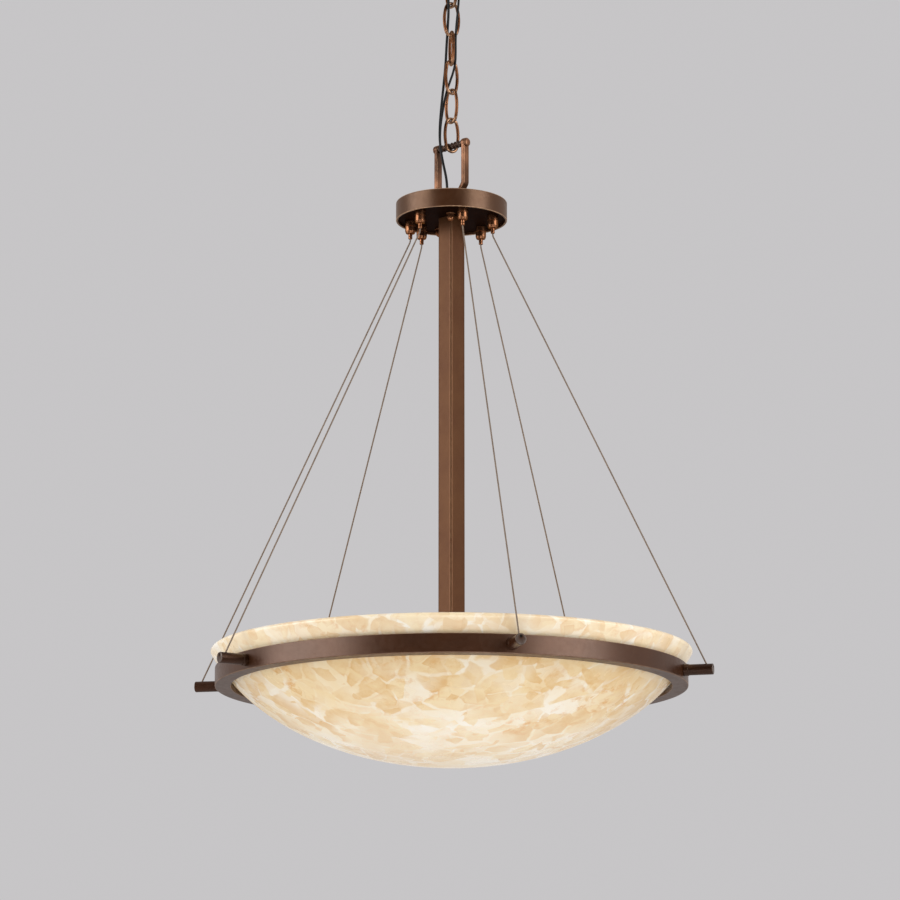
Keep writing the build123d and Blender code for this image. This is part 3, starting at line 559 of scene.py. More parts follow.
def black_jacket(finish, colours):
    """A smooth black jacket with a faint drawn texture."""
    grain = finish.noise(1500.0, 2.0)
    finish.set(Base_Color=finish.mix(finish.clouds(60.0), colours.cord, (0.010, 0.0095, 0.0095)),
               Roughness=finish.span(grain, 0.3, 0.7, 0.48, 0.56), Specular_IOR_Level=0.22,
               Normal=finish.bump(grain, 0.02, 0.0001))


def chip_layer(finish, scale, seed, stretch):
    """One layer of stone chips, which are the cells round random points, bent by noise: two random values
    for each chip, the distance from its edge, and how far a point lies along the chip's own direction."""
    bend = 0.42 / scale
    shift = finish.add("ShaderNodeMapping", Vector=finish.place, Location=(seed, 2.3 * seed, 3.7 * seed),
                       Rotation=(seed, 1.7 * seed, 0.6 * seed), Scale=stretch).outputs[0]
    wobble = finish.add("ShaderNodeTexNoise", Scale=scale * 1.3, Detail=2.0, Vector=shift).outputs["Color"]
    bent = finish.vector("MULTIPLY_ADD", wobble, (bend, bend, bend), shift)
    cells, edges = (
        finish.add("ShaderNodeTexVoronoi", {"feature": kind}, Scale=scale, Randomness=1.0,
                   Vector=bent).outputs for kind in ("F1", "DISTANCE_TO_EDGE"))
    away = finish.vector("SUBTRACT", bent, cells["Position"])
    heading = finish.vector("SUBTRACT", cells["Color"], (0.5, 0.5, 0.5))
    slope = finish.arithmetic("ShaderNodeVectorMath", "DOT_PRODUCT", (away, heading))["Value"]
    random = finish.add("ShaderNodeSeparateColor", Color=cells["Color"]).outputs
    return random[0], random[1], edges["Distance"], finish.times(slope, scale)


def resin_with_chips(finish, colours):
    """Polished resin full of stone chips. Layers of chips lie over cream resin; each chip has its own tone,
    is left out at random, and thins out along its own direction. Rust stains gather in some places. Painted
    shade darkens the resin just below the ring; further down, fewer chips, paler resin and a growing emission
    paint the bowl as lit from inside."""
    height = finish.add("ShaderNodeSeparateXYZ", Vector=finish.place).outputs["Z"]

    def downwards(start, low, high):
        return finish.span(height, start, cad_low.z, low, high, True)

    cloud = finish.noise(14.0)
    ground = finish.mix(finish.span(cloud, 0.35, 0.65, 0.1, 0.8), colours.resin, colours.chip_pale)
    # Fewer chips further down, so that the lower bowl reads paler: painted light.
    fewer_chips_for_painted_light = downwards(ring_low, 1.0, 0.62)
    mottle = finish.clouds(85.0, -0.3, 0.3, 5.0, 0.6)
    stained = finish.clouds(26.0, 0.0, 0.6, 3.0, start=0.52, end=0.66)
    for scale, seed, stretch, share, cover in CHIP_LAYERS:
        tone, pick, edge, along = chip_layer(finish, scale, seed, stretch)
        tone = finish.span(finish.number("ADD", tone, mottle), 0.15, 0.95)
        border = finish.times(finish.span(edge, 0.05, 0.17, 1.0, 0.0, True), stained)
        chip = finish.mix(border, finish.mix(tone, colours.chip_pale, colours.chip_tan), colours.chip_rust)
        left_out = finish.number("SUBTRACT", 1.0, finish.times(fewer_chips_for_painted_light, share))
        body = finish.times(finish.span(edge, 0.025, 0.07, 0.0, cover, True),
                            finish.span(along, -0.2, 0.12, 0.25, 1.0, True))
        ground = finish.mix(finish.times(body, finish.number("GREATER_THAN", pick, left_out)), ground, chip)
    warm = finish.clouds(9.0, 0.0, 0.45, 4.0, 0.6, 0.48, 0.70, True)
    ground = finish.mix(warm, ground, colours.chip_tan)
    stain = finish.times(finish.clouds(75.0, 0.0, 0.9, 5.0, 0.62, 0.53, 0.68),
                         finish.clouds(11.0, detail=3.0, start=0.45, end=0.62))
    ground = finish.mix(stain, ground, colours.chip_rust)
    # Painted shade: a tan multiply darkens the resin just below the ring.
    shade_under_ring = finish.times(finish.span(height, ring_low - 0.065, ring_low, 0.0, 1.0, True),
                             finish.span(height, ring_low, ring_top, 1.0, 0.0))
    ground = finish.mix(shade_under_ring, ground, (0.97, 0.925, 0.84), "MULTIPLY")
    # Paler resin further down: painted light.
    ground = finish.mix(downwards(ring_low - 0.02, 0.0, 0.2), ground, colours.resin)
    # Paler resin from the ring's underside up to its top, and on the rim above it.
    ground = finish.mix(finish.span(height, ring_low, ring_top, 0.0, 0.2), ground, colours.resin)
    # The emission is a painted glow that grows further down; the bowl itself is no lamp.
    finish.set(Base_Color=ground, Roughness=finish.span(cloud, 0.3, 0.7, 0.22, 0.34), Coat_Weight=0.2,
               Coat_Roughness=0.15, Emission_Color=ground, Emission_Strength=downwards(ring_low, 0.10, 0.33),
               Normal=finish.bump(finish.noise(70.0, 2.0), 0.06, 0.001))


def white_glaze(finish, colours):
    """White glaze with faint specks."""
    specks = finish.clouds(700.0, 0.0, 0.5, start=0.62, end=0.75)
    finish.set(Base_Color=finish.mix(specks, colours.porcelain, (0.62, 0.58, 0.52)),
               Roughness=finish.clouds(80.0, 0.1, 0.2), Coat_Weight=0.5)


def frosted_glass(finish, colours):
    """Frosted white glass with a weak warm glow."""
    tone = finish.mix(finish.clouds(150.0, 0.0, 0.4), colours.bulb, (0.95, 0.93, 0.88))
    finish.set(Base_Color=tone, Roughness=finish.clouds(900.0, 0.3, 0.4),
               Emission_Color=tone, Emission_Strength=0.12)


def two_tones(finish, colours, first, second, roughness, metallic):
    """Two close tones in soft clouds, for small moulded, cast or rolled pieces."""
    finish.set(Base_Color=finish.mix(finish.clouds(240.0), first, second), Metallic=metallic,
               Roughness=finish.clouds(1100.0, roughness - 0.05, roughness + 0.07))


def pale_floor(finish, colours):
    """A matt floor with faint clouds."""
    finish.set(Base_Color=finish.mix(finish.clouds(1.5, 0.0, 0.12), colours.floor, (0.80, 0.79, 0.79)),
               Roughness=0.7)


# Plated finishes: body, clouds, and rubbed edges with painted sheen, metallic, roughness, and the tint and
# strength of the gloss
WARM = (1.0, 0.88, 0.78)
METALS = {
    "dark_bronze": ("bronze", "bronze_deep", "bronze_rub_and_sheen", 0.40, 0.33, WARM, 0.80),
    "hub_bronze": ("bronze", "bronze_deep", "bronze_rub_and_sheen", 0.40, 0.35, (1.0, 0.78, 0.58), 1.0),
    # The stem's copy of the bronze paints its light and shade.
    "stem_shaded_bronze": ("stem_shaded_bronze", "bronze", "bronze_rub_and_sheen", 0.55, 0.36, (0.70, 0.52, 0.38), 0.80),
    "pin_bronze": ("pin_bronze", "bronze_deep", "pin_face", 0.40, 0.30, WARM, 0.45),
    # Painted shade: near black with a dark gloss tint, for the shade under the hub.
    "shade_dark_bronze": ("hub_underside_shade", "hub_underside_shade", "bronze_deep", 0.9, 0.5, (0.25, 0.14, 0.08), 0.80),
    "chain_bronze": ("chain", "bronze_deep", "bronze_rub_and_sheen", 0.93, 0.34, (0.70, 0.48, 0.34), 0.4),
    "yoke_bronze": ("chain", "bronze_deep", "bronze_rub_and_sheen", 0.70, 0.36, WARM, 0.80),
    "gripper_copper": ("gripper", "chain", "bronze_rub_and_sheen", 0.96, 0.27, (0.60, 0.40, 0.28), 0.3),
}

# Every finish: the function that makes it, and its values
FINISHES = {name: (rubbed_metal_with_sheen, *values) for name, values in METALS.items()} | {
    "zinc_steel": (plated_steel, "steel", 0.34),
    "oiled_steel": (plated_steel, "dark_steel", 0.38),
    "wire_rope": (bronzed_rope,),
    "cord_jacket": (black_jacket,),
    "resin_stone": (resin_with_chips,),
    "white_glaze": (white_glaze,),
    "frosted_glass": (frosted_glass,),
    "pale_floor": (pale_floor,),
    "green_screw": (two_tones, (0.04, 0.20, 0.08), (0.06, 0.28, 0.11), 0.4, 0.6),
    "black_bushing": (two_tones, (0.020, 0.019, 0.018), (0.035, 0.033, 0.031), 0.5, 0.0),
    "black_screw": (two_tones, (0.002, 0.002, 0.002), (0.004, 0.004, 0.004), 0.8, 0.0),
    "clear_silicone": (two_tones, (0.72, 0.70, 0.64), (0.80, 0.78, 0.72), 0.45, 0.0),
    "shell_brass": (two_tones, (0.55, 0.40, 0.16), (0.66, 0.50, 0.22), 0.3, 1.0),
    "cap_aluminium": (two_tones, (0.68, 0.68, 0.69), (0.76, 0.76, 0.77), 0.32, 1.0),
}


def finish_named(name):
    """The material of that name, made when it is first asked for."""
    if name not in bpy.data.materials:
        maker, *values = FINISHES[name]
        maker(Finish(name), bpy.context.scene.pendant_colours, *values)
    return bpy.data.materials[name]


# Ceiling mount
class PENDANT_OT_ceiling_mount(Operator):
    """Canopy, collar and loop, and the finishes of what is inside the canopy"""
    bl_idname = "pendant.ceiling_mount"
    bl_label = "Ceiling mount"

    wall: length_property("Canopy wall", "Thickness of the canopy", 0.0012)

    def execute(self, context):
        cover = canopy_cover(self.wall, context.scene.pendant_sizes.round_steps // 2)
        for name, shape, node in (
                ("canopy_cover", cover, "canopy"),
                ("canopy_collar_knurled", knurled_collar(), "canopy_collar"),
                ("canopy_hanging_loop", hanging_loop(), "canopy_loop")):
            make_piece(name, shape, "dark_bronze", node, "ceiling_mount", 0.3)
        dress("zinc_steel", "crossbar", "canopy_nipple", "nipple_lock_nut")
        dress("green_screw", "ground_screw")
        return {"FINISHED"}


def canopy_cover(wall, segments):
    """A thin turned cover with a rounded lower edge and a hole for the nipple."""
    low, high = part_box("canopy")
    radius, inner, roof = high.x, high.x - wall, low.z + wall
    hole_r, edge_r, lip_r = 0.0051, 0.006, wall * 0.4
    return turned([(hole_r, low.z), (radius, low.z), (radius, 0), (inner, 0), (inner, roof), (hole_r, roof)],
                  [0, edge_r, lip_r, lip_r, edge_r - wall, 0], segments)


def knurled_collar():
    """A collar whose side is a wave round its axis, for a knurled grip, between two plain chamfers."""
    low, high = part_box("canopy_collar")
    radius, bore, waves, depth = high.x, 0.0049, 36, 0.00022
    outline, wear_and_sheen = rounded(
        [(bore, low.z), (radius, low.z), (radius, high.z), (bore, high.z)], [0, 0.0015, 0.0004, 0], steps=8)
    angle = angles(waves * 8)
    middle = 1 - np.abs(2 * (outline[:, 1] - low.z) / (high.z - low.z) - 1)
    grip = np.clip(middle * 2.5 - 0.5, 0, 1) * (outline[:, 0] > radius * 0.9)
    reach = outline[:, :1] - depth * grip[:, None] * (1 - np.cos(waves * angle))
    return skin(about_axis(reach, outline[:, 1:], angle), along_closed=True, wear_and_sheen=wear_and_sheen[:, None])


def hanging_loop():
    """A turned neck with a wire ring below it; the ring is a circle carried round a circle."""
    low, high = heights("canopy_loop")
    wire_r, loop_r, neck_r, neck_low, bore = 0.00225, 0.010, 0.008, high - 0.008, 0.0040
    neck = turned([(bore, neck_low), (neck_r, neck_low), (neck_r, high), (bore, high)],
                  [0.0004, 0.002, 0.0006, 0])
    path = upright(circle(loop_r, 96), LOOP_TURN) + (low + wire_r + loop_r) * UP
    return joined([neck, carried(path, circle(wire_r, 20), plan(LOOP_TURN + 90), closed=True)])


# Chain
class PENDANT_OT_chain(Operator):
    """Six wire links, each with a butt seam in one leg"""
    bl_idname = "pendant.chain"
    bl_label = "Chain"

    def execute(self, context):
        for number, turn in LINK_TURNS.items():
            make_piece(f"link_{number}_wire", wire_link(number, turn), "chain_bronze",
                       f"chain_link_{number}", f"link_{number}")
        return {"FINISHED"}


def wire_link(number, turn):
    """A round wire carried along an oval of four arcs, two wide ones for the sides and two narrow ones for
    the ends. The wire is drawn a little unevenly, which is a sum of two waves along it, and thins at the seam
    in the middle of one side."""
    low, high = heights(f"chain_link_{number}")
    half_width, half_height, end_r = 0.0080, (high - low) / 2 - LINK_WIRE_R, 0.0064
    seam_z, seam, seam_depth = 0.002 * (number % 3), 0.0004, 0.16
    waves = ((5, 1.0, 0.010), (11, 2.0, 0.008))
    rise = half_height - end_r
    side_r = (half_width ** 2 + rise ** 2 - end_r ** 2) / (2 * (half_width - end_r))
    meeting = atan2(rise, side_r - half_width)
    side = np.linspace(-meeting, meeting, 60, endpoint=False)
    end = np.linspace(meeting, pi - meeting, 40, endpoint=False)
    half = np.concatenate([arc(side_r, side) + (half_width - side_r, 0), arc(end_r, end) + (0, rise)])
    oval = np.concatenate([half, -half])
    wide, tall = oval.T
    station = angles(len(oval))
    uneven = sum(size * (np.sin(count * station + shift * number) - 1) for count, shift, size in waves)
    on_side = (wide < 0) == (number % 2 == 0)
    thin = seam_depth * np.exp(-((tall - seam_z) / seam) ** 2) * on_side
    scale = (1 + uneven - thin)[:, None] * np.ones(2)
    rubbed = np.clip(np.abs(tall) / half_height * 3 - 2, 0, 1)
    path = upright(oval, turn) + link_middles[number] * UP
    return carried(path, circle(LINK_WIRE_R, 20), plan(turn + 90), scale, True, rubbed[:, None])


# Yoke
class PENDANT_OT_yoke(Operator):
    """Bent strap, threaded rod, cap nuts and bolt"""
    bl_idname = "pendant.yoke"
    bl_label = "Yoke"

    half_span: length_property("Half span", "From the axis to the middle of a leg", 0.0195)
    thick: length_property("Thickness", "Thickness of the strap", 0.0044)

    def execute(self, context):
        strap = bent_strap(self.half_span, self.thick)
        make_piece("yoke_bent_strap", strap, "yoke_bronze", "yoke_strap", wear_and_sheen_amount=0.3)
        make_piece("yoke_threaded_rod", threaded_rod(), "pin_bronze", "yoke_rod", wear_and_sheen_amount=0.4)
        nuts = [domed_nut(turn, self.half_span + self.thick / 2) for turn in (0, 180)]
        make_piece("yoke_domed_nuts", joined(nuts), "yoke_bronze", "yoke_cap_nuts", wear_and_sheen_amount=0.2)
        make_piece("yoke_round_bolt", round_bolt(), "oiled_steel", "yoke_bolt")
        return {"FINISHED"}


def bent_strap(half_span, thick):
    """A flat bar with eased edges carried along its bent path. Near the rod its width follows a circle about
    the rod's axis, which makes the round eyes, and closes to a narrow edge at their tops."""
    base_half, bend_drop, bend_r, eye_r, half_width = 0.0075, 0.0438, 0.005, 0.00475, 0.004
    base_z = hub_top + thick / 2
    half = [(base_half, base_z), (half_span, rod_z - bend_drop), (half_span, rod_z + eye_r * 0.995)]
    outline, _ = rounded([(-x, z) for x, z in reversed(half)] + half, bend_r, closed=False, steps=12)
    line = spaced(outline, 0.0005)
    section, wear_and_sheen = square(1, 0.32, 4)
    rise = np.clip(line[:, 1] - rod_z, -eye_r, eye_r)
    width = np.sqrt(eye_r ** 2 - rise ** 2)
    width = np.where(line[:, 1] < rod_z, np.maximum(width, half_width), width)
    scale = np.stack([width, np.full(len(width), thick / 2)], axis=-1)
    return carried(upright(line, YOKE_TURN), section, plan(YOKE_TURN + 90), scale, wear_and_sheen=wear_and_sheen)


def threaded_rod():
    """A rod whose radius is a wave that turns about the axis once each pitch, with plain ends."""
    shoulder, end, crest, root, end_r, pitch = 0.0172, 0.0234, 0.0038, 0.0029, 0.0025, 0.0047
    along = np.linspace(-end, end, 420)[:, None]
    angle = angles(24)
    ridge = 0.5 + 0.5 * np.cos(2 * pi * along / pitch - angle)
    threaded = np.abs(along) < shoulder
    rings = about_axis(np.where(threaded, root + (crest - root) * ridge ** 1.5, end_r), along, angle)
    # The crests are marked for wear and for painted glints.
    rod = skin(rings, poles=(-end * UP, end * UP), wear_and_sheen=np.where(threaded, ridge, 0.0))
    return placed(rod, rod_z * UP, plan(YOKE_TURN))


def domed_nut(turn, face):
    """A round nut with a domed outer face."""
    radius, seat, side, height = 0.0045, 0.0001, 0.0012, 0.0028
    nut = turned([(0, seat), (radius, seat), (radius, side), (radius * 0.72, height * 0.82), (0, height)],
                 [0, 0.0003, 0.0008, 0.002, 0], 40)
    outwards = plan(YOKE_TURN + turn)
    return placed(nut, face * outwards + rod_z * UP, outwards)


def round_bolt():
    """A turned bolt with a rounded head."""
    low, high = heights("yoke_bolt")
    shank_r, head_r, neck = 0.003, 0.0046, high - 0.003
    return turned([(0, low), (shank_r, low), (shank_r, neck), (head_r, neck), (head_r, high), (0, high)],
                  [0, 0.0004, 0, 0.0003, 0.0016, 0], 32)


# Hub
class PENDANT_OT_hub(Operator):
    """Hub cup, cap nuts and cord bushing"""
    bl_idname = "pendant.hub"
    bl_label = "Hub"

    top: length_property("Top", "Thickness of the hub's top", 0.0025)

    def execute(self, context):
        sizes = context.scene.pendant_sizes
        low, roof, inner = hub_top - sizes.hub_height, hub_top - self.top, hub_r - sizes.hub_wall
        cup = turned([(0, hub_top), (hub_r, hub_top), (hub_r, low), (inner, low), (inner, roof), (0, roof)],
                     [0, 0.0012, 0.0008, 0.0006, 0.0005, 0], sizes.round_steps)
        # The cup's edges take the full painted sheen: a painted highlight along its lower edge, with wear.
        make_piece("hub_turned_cup", cup, "hub_bronze", "hub_cup")
        # The plate takes the near-black finish that paints the shade under the hub.
        dress("shade_dark_bronze", "hub_plate")
        nuts = [placed(flanged_nut(), radius * plan(angle) + plate_low * UP, -UP, NUT_TURN)
                for radius, angle in STUDS]
        make_piece("plate_domed_nuts", joined(nuts), "gripper_copper", "plate_cap_nuts", wear_and_sheen_amount=0.4)
        make_piece("cord_grommet", cord_grommet(), "black_bushing", "cord_bushing")
        return {"FINISHED"}


def cord_grommet():
    """A turned bushing with a rounded rim on the hub's top."""
    low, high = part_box("cord_bushing")
    rim_r, neck_r = (high.x - low.x) / 2, 0.0034
    bushing = turned(
        [(0, low.z), (neck_r, low.z), (neck_r, hub_top), (rim_r, hub_top), (rim_r, high.z), (0, high.z)],
        [0, 0.0005, 0, 0.0004, 0.0012, 0], 40)
    return placed(bushing, plan_place("cord_bushing"))


def flanged_nut():
    """A nut pointing along +Z: a round flange, then the smaller of a hexagon and a chamfer cone, then a dome.
    The hexagon's radius is half its width over the cosine of the angle from the nearest flat's middle."""
    flange_r, flange, flats, hexagon, dome_r, sunk = 0.0046, 0.0010, 0.0074, 0.0046, 0.0034, 0.0002
    plate = turned([(0, 0), (flange_r, 0), (flange_r, flange), (0, flange)], [0, 0.0002, 0.0004, 0], 40)
    top = flange + hexagon
    height = np.array([[flange * 0.9, flange + 0.0005, flange + 0.001, top - 0.0008, top - 0.0004, top]]).T
    angle = angles(72)
    flat = flats / 2 / np.cos((angle + pi / 6) % (pi / 3) - pi / 6)
    reach = np.minimum(flat, flats / 2 + (top - height) * 1.6)
    body = skin(about_axis(reach, height, angle), poles=(height[0] * UP, top * UP))
    base = top - sunk
    dome = turned(np.vstack([(0, base), arc(dome_r, np.linspace(0, pi / 2, 14)) + (0, base)]), segments=72)
    return joined([plate, body, dome])


# Cable grippers and cables
class PENDANT_OT_grippers(Operator):
    """Six gripper barrels, each with a plunger and a spring that the plunger presses together"""
    bl_idname = "pendant.grippers"
    bl_label = "Cable grippers"

    travel: length_property("Travel", "How far a plunger is pressed", 0.002)

    def execute(self, context):
        places = [plan_place(f"gripper_plunger_{number}") for number in range(1, len(PIN_ANGLES) + 1)]
        barrels = joined([placed(gripper_barrel(), place) for place in places])
        make_piece("gripper_turned_barrels", barrels, "gripper_copper", "gripper_barrels",
                   wear_and_sheen_amount=0.3)
        low, high = heights("gripper_springs")
        for number, place in enumerate(places, 1):
            plunger, coil = placed(gripper_plunger(), place), placed(gripper_coil(low, high), place)
            make_piece(f"plunger_{number}_turned", plunger, "gripper_copper",
                       f"gripper_plunger_{number}", f"plunger_{number}", 0.5)
            spring = make_piece(f"gripper_{number}_coil", coil, "zinc_steel", "gripper_springs")
            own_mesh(spring)
        dress("zinc_steel", "gripper_nuts")
        return {"FINISHED"}


def gripper_barrel():
    """A barrel with a tapered tip, a turned groove, a spigot through the plate, and a stepped bore."""
    barrel_r, tip_r, taper, spigot_r, notch = 0.0055, 0.0046, 0.0026, 0.0035, 0.0003
    guide_r, chamber_r, bore_r = 0.0022, 0.0031, 0.00105
    chamber_low, groove, chamber_high = (barrel_low + rise for rise in (0.0025, 0.0074, 0.0115))
    return turned(
        [(guide_r, barrel_low), (tip_r, barrel_low), (barrel_r, barrel_low + taper), (barrel_r, groove),
         (barrel_r - notch, groove + notch), (barrel_r, groove + 2 * notch), (barrel_r, plate_low),
         (spigot_r, plate_low), (spigot_r, spigot_top), (bore_r, spigot_top), (bore_r, chamber_high),
         (chamber_r, chamber_high), (chamber_r, chamber_low), (guide_r, chamber_low)],
        [0.0002, 0.0006, 0.0008, 0, 0, 0, 0.0004, 0, 0.0004, 0, 0, 0, 0, 0], 40)


def gripper_plunger():
    """A release sleeve with a collar inside the barrel and a chamfered, grooved tip below it."""
    sleeve_r, collar_r, bore_r, chamfer, groove, notch = 0.00215, 0.00295, 0.00105, 0.0006, 0.0004, 0.00035
    collar_low, waist = barrel_low + 0.00255, plunger_low + 0.0022
    collar_top = collar_low + 0.002
    return turned(
        [(bore_r, plunger_low), (sleeve_r - chamfer, plunger_low), (sleeve_r, plunger_low + chamfer),
         (sleeve_r, waist), (sleeve_r - notch, waist + groove), (sleeve_r, waist + 2 * groove),
         (sleeve_r, collar_low), (collar_r, collar_low), (collar_r, collar_top), (bore_r, collar_top)],
        [0.0001, 0.0002, 0.0003, 0, 0, 0, 0, 0.0002, 0.0002, 0], 28)


def gripper_coil(low, high):
    """A coil spring: a round wire carried along a helix, whose angle and height grow evenly."""
    wire_r, coil_r, turns = 0.00046, 0.00222, 3.5
    along = np.linspace(0, 1, 140)
    rise = low + wire_r + (high - low - 2 * wire_r) * along
    return carried(np.c_[arc(coil_r, 2 * pi * turns * along), rise], circle(wire_r, 12), UP)


class PENDANT_OT_cables(Operator):
    """Six taut wire ropes from the grippers to the ring's pins"""
    bl_idname = "pendant.cables"
    bl_label = "Suspension cables"

    pitch: length_property("Lay", "Length of one turn of the strands", 0.0065)

    def execute(self, context):
        sizes = context.scene.pendant_sizes
        for number, pin_angle in enumerate(PIN_ANGLES, 1):
            route, mouth = cable_route(number, pin_angle, sizes.pin_length)
            line = spaced(route_line(route), self.pitch / 8)
            rope = wire_rope(line, sizes.cable_diameter / 2, self.pitch)
            piece = make_piece(f"cable_{number}_rope", rope, "wire_rope", f"cable_{number}")
        return {"FINISHED"}


def cable_route(number, pin_angle, pin_length):
    """Points of a cable's route and the point where it leaves its gripper. The route goes straight down
    through the gripper, turns below it, and runs straight to a hole in its pin."""
    bend_r, air, hole_inset, hole_depth = 0.010, 0.0003, 0.0045, 0.003
    place = plan_place(f"gripper_plunger_{number}")
    hole_r = ring_r + pin_length - hole_inset
    slope = atan2(hole_r - np.hypot(*place[:2]), plunger_low - ring_middle)
    reach = bend_r * tan(slope / 2)
    mouth = place + plunger_low * UP
    corner = mouth - (reach + air) * UP
    hole = hole_r * plan(pin_angle) + ring_middle * UP
    down = unit(hole - corner)
    top = place + heights(f"cable_{number}")[1] * UP
    return [top, corner + 2 * reach * UP, corner, corner + 2 * reach * down, hole + hole_depth * down], mouth


def wire_rope(line, radius, pitch):
    """Six strands laid round each other: a section of six rounded lobes that turns once each pitch."""
    lobes, sides, depth = 6, 24, 0.03
    angle = angles(sides)
    turn = angle - 2 * pi * run_along(line)[:, None] / pitch
    reach = radius * (1 - depth + depth * np.cos(lobes * turn))
    return carried(line, arc(reach, angle), (0.6, -0.8, 0.1))


# Ring
class PENDANT_OT_ring(Operator):
    """Ring of angle section, and its pins"""
    bl_idname = "pendant.ring"
    bl_label = "Ring and pins"

    def execute(self, context):
        sizes = context.scene.pendant_sizes
        inner, ledge = ring_r - sizes.ring_wall, ring_low + sizes.ring_flange
        opening = inner - sizes.ring_ledge
        band = turned(
            [(opening, ring_low), (ring_r, ring_low), (ring_r, ring_top), (inner, ring_top), (inner, ledge),
             (opening, ledge)],
            [0.0006, 0.0009, 0.0009, 0.0006, 0.0008, 0.0006], sizes.round_steps)
        make_piece("ring_band", band, "dark_bronze", "ring", wear_and_sheen_amount=0.45)
        pins = [placed(ring_pin(sizes.pin_length), ring_r * plan(angle) + ring_middle * UP, plan(angle))
                for angle in PIN_ANGLES]
        make_piece("ring_turned_pins", joined(pins), "pin_bronze", "ring_pins")
        dress("black_screw", "set_screws")
        dress("zinc_steel", "pin_screws")
        dress("clear_silicone", "bowl_pads")
        return {"FINISHED"}


def ring_pin(length):
    """A pin pointing along +Z: a collar, a shank with a chamfered end, and a hole for its set screw, which
    lies above the pin's axis; the hole's rings are shifted there."""
    pin_r, collar_r, collar, seat = 0.0055, 0.0060, 0.005, 0.00005
    hole_r, hole_rise, hole_depth = 0.0012, 0.0027, 0.0045
    floor = length - hole_depth
    outline, _ = rounded(
        [(0, seat), (collar_r, seat), (collar_r, collar), (pin_r, collar), (pin_r, length), (hole_r, length),
         (hole_r, floor), (0, floor)],
        [0, 0.0003, 0.0004, 0.0002, 0.0008, 0.0002, 0, 0])
    outline = outline[1:-1]
    reach, height = outline.T
    wear_and_sheen = np.clip((height - length + 0.0006) / 0.0005, 0, 1) * (reach > 1.3 * hole_r)
    in_hole = (reach < hole_r + 0.0005) & (height > length - 1.5 * hole_depth)
    rings = about_axis(outline[:, :1], outline[:, 1:], angles(48))
    rings[..., 1] += hole_rise * in_hole[:, None]
    return skin(rings, poles=(seat * UP, (0.0, hole_rise, floor)), wear_and_sheen=wear_and_sheen[:, None])


# Bowl
class PENDANT_OT_bowl(Operator):
    """Bowl of resin and stone chips"""
    bl_idname = "pendant.bowl"
    bl_label = "Bowl"

    def execute(self, context):
        shell = bowl_shell(context.scene.pendant_sizes)
        make_piece("bowl_shell", shell, "resin_stone", "bowl", "bowl_shade")
        return {"FINISHED"}


def bowl_shell(sizes):
    """Two ellipses turned about the axis, an outer one and an inner one, joined by a round lip. At turn t
    from the lowest point the radius is the half width times sin t, and the depth below the ellipse's middle
    is the half height times cos t."""
    low, high = heights("bowl")
    middle = low + sizes.bowl_half_height
    lip_start = high - sizes.bowl_lip

    def ellipse(inset):
        width, height = sizes.bowl_half_width - inset, sizes.bowl_half_height - inset
        turn = np.linspace(0, acos((middle - lip_start) / height), 110)
        return np.stack([width * np.sin(turn), middle - height * np.cos(turn)], axis=-1)

    outer, inner = ellipse(0.0), ellipse(sizes.bowl_wall)
    half = (outer[-1, 0] - inner[-1, 0]) / 2
    lip = (outer[-1] + inner[-1]) / 2 + arc(1.0, np.linspace(0, pi, 14)[1:-1]) * (half, sizes.bowl_lip)
    return turned(np.concatenate([outer, lip, inner[::-1]]), segments=sizes.round_steps)


# Stem and lamps
class PENDANT_OT_stem(Operator):
    """Square stem with eased corners"""
    bl_idname = "pendant.stem"
    bl_label = "Stem"

    corner_r: length_property("Corner", "Radius of the stem's corners", 0.0022)
    wall: length_property("Wall", "Thickness of the stem", 0.0016)

    def execute(self, context):
        half = context.scene.pendant_sizes.stem_side / 2
        stem = square_tube(half, self.corner_r, self.wall, *heights("stem"))
        make_piece("stem_square_tube", stem, "stem_shaded_bronze", "stem", wear_and_sheen_amount=0.16)
        dress("zinc_steel", "stem_upper_plug", "stem_lower_plug", "cluster_nipple")
        return {"FINISHED"}


def square_tube(half, corner_r, wall, low, high):
    """A square with rounded corners drawn out along Z, outside and inside, with eased ends."""
    ease = 0.0003
    outer, wear_and_sheen = square(half, corner_r)
    inner, _ = square(half - wall, max(corner_r - wall, 0.0005))
    eased = outer * (1 - ease / half)
    levels = ((eased, low, 1), (outer, low + ease, 1), (outer, high - ease, 1), (eased, high, 1),
              (inner, high, 0), (inner, low, 0))
    rings = np.stack([np.c_[ring, np.full(len(ring), z)] for ring, z, _ in levels])
    wear_and_sheen_amount = np.stack([wear_and_sheen * outside for _, _, outside in levels])
    return placed(skin(rings, along_closed=True, wear_and_sheen=wear_and_sheen_amount), (0, 0, 0), turn=STEM_TURN)


class PENDANT_OT_lamps(Operator):
    """Cluster body, arms, lampholders and bulbs inside the bowl"""
    bl_idname = "pendant.lamps"
    bl_label = "Lamps"

    def execute(self, context):
        low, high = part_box("cluster_body")
        body = turned([(0, low.z), (high.x, low.z), (high.x, high.z), (0, high.z)], [0, 0.003, 0.003, 0], 72)
        make_piece("cluster_turned_body", body, "dark_bronze", "cluster_body")
        arms = [on_arm(lamp_arm(), angle) for angle in LAMP_ANGLES]
        make_piece("lamp_tube_arms", joined(arms), "dark_bronze", "lamp_arms")
        dress("dark_bronze", "cluster_lock_nut")
        for number, angle in enumerate(LAMP_ANGLES, 1):
            holder, bulb = on_arm(lampholder(), angle), on_arm(bulb_envelope(), angle)
            make_piece(f"lampholder_{number}_glazed", holder, "white_glaze",
                       f"lampholder_{number}")
            make_piece(f"bulb_{number}_frosted", bulb, "frosted_glass", f"bulb_{number}")
        dress("shell_brass", "screw_shells")
        dress("cap_aluminium", "bulb_caps")
        return {"FINISHED"}


def on_arm(shape, angle):
    """A shape laid along a lamp's axis, level with the ring's underside."""
    return placed(shape, ring_low * UP, plan(angle))


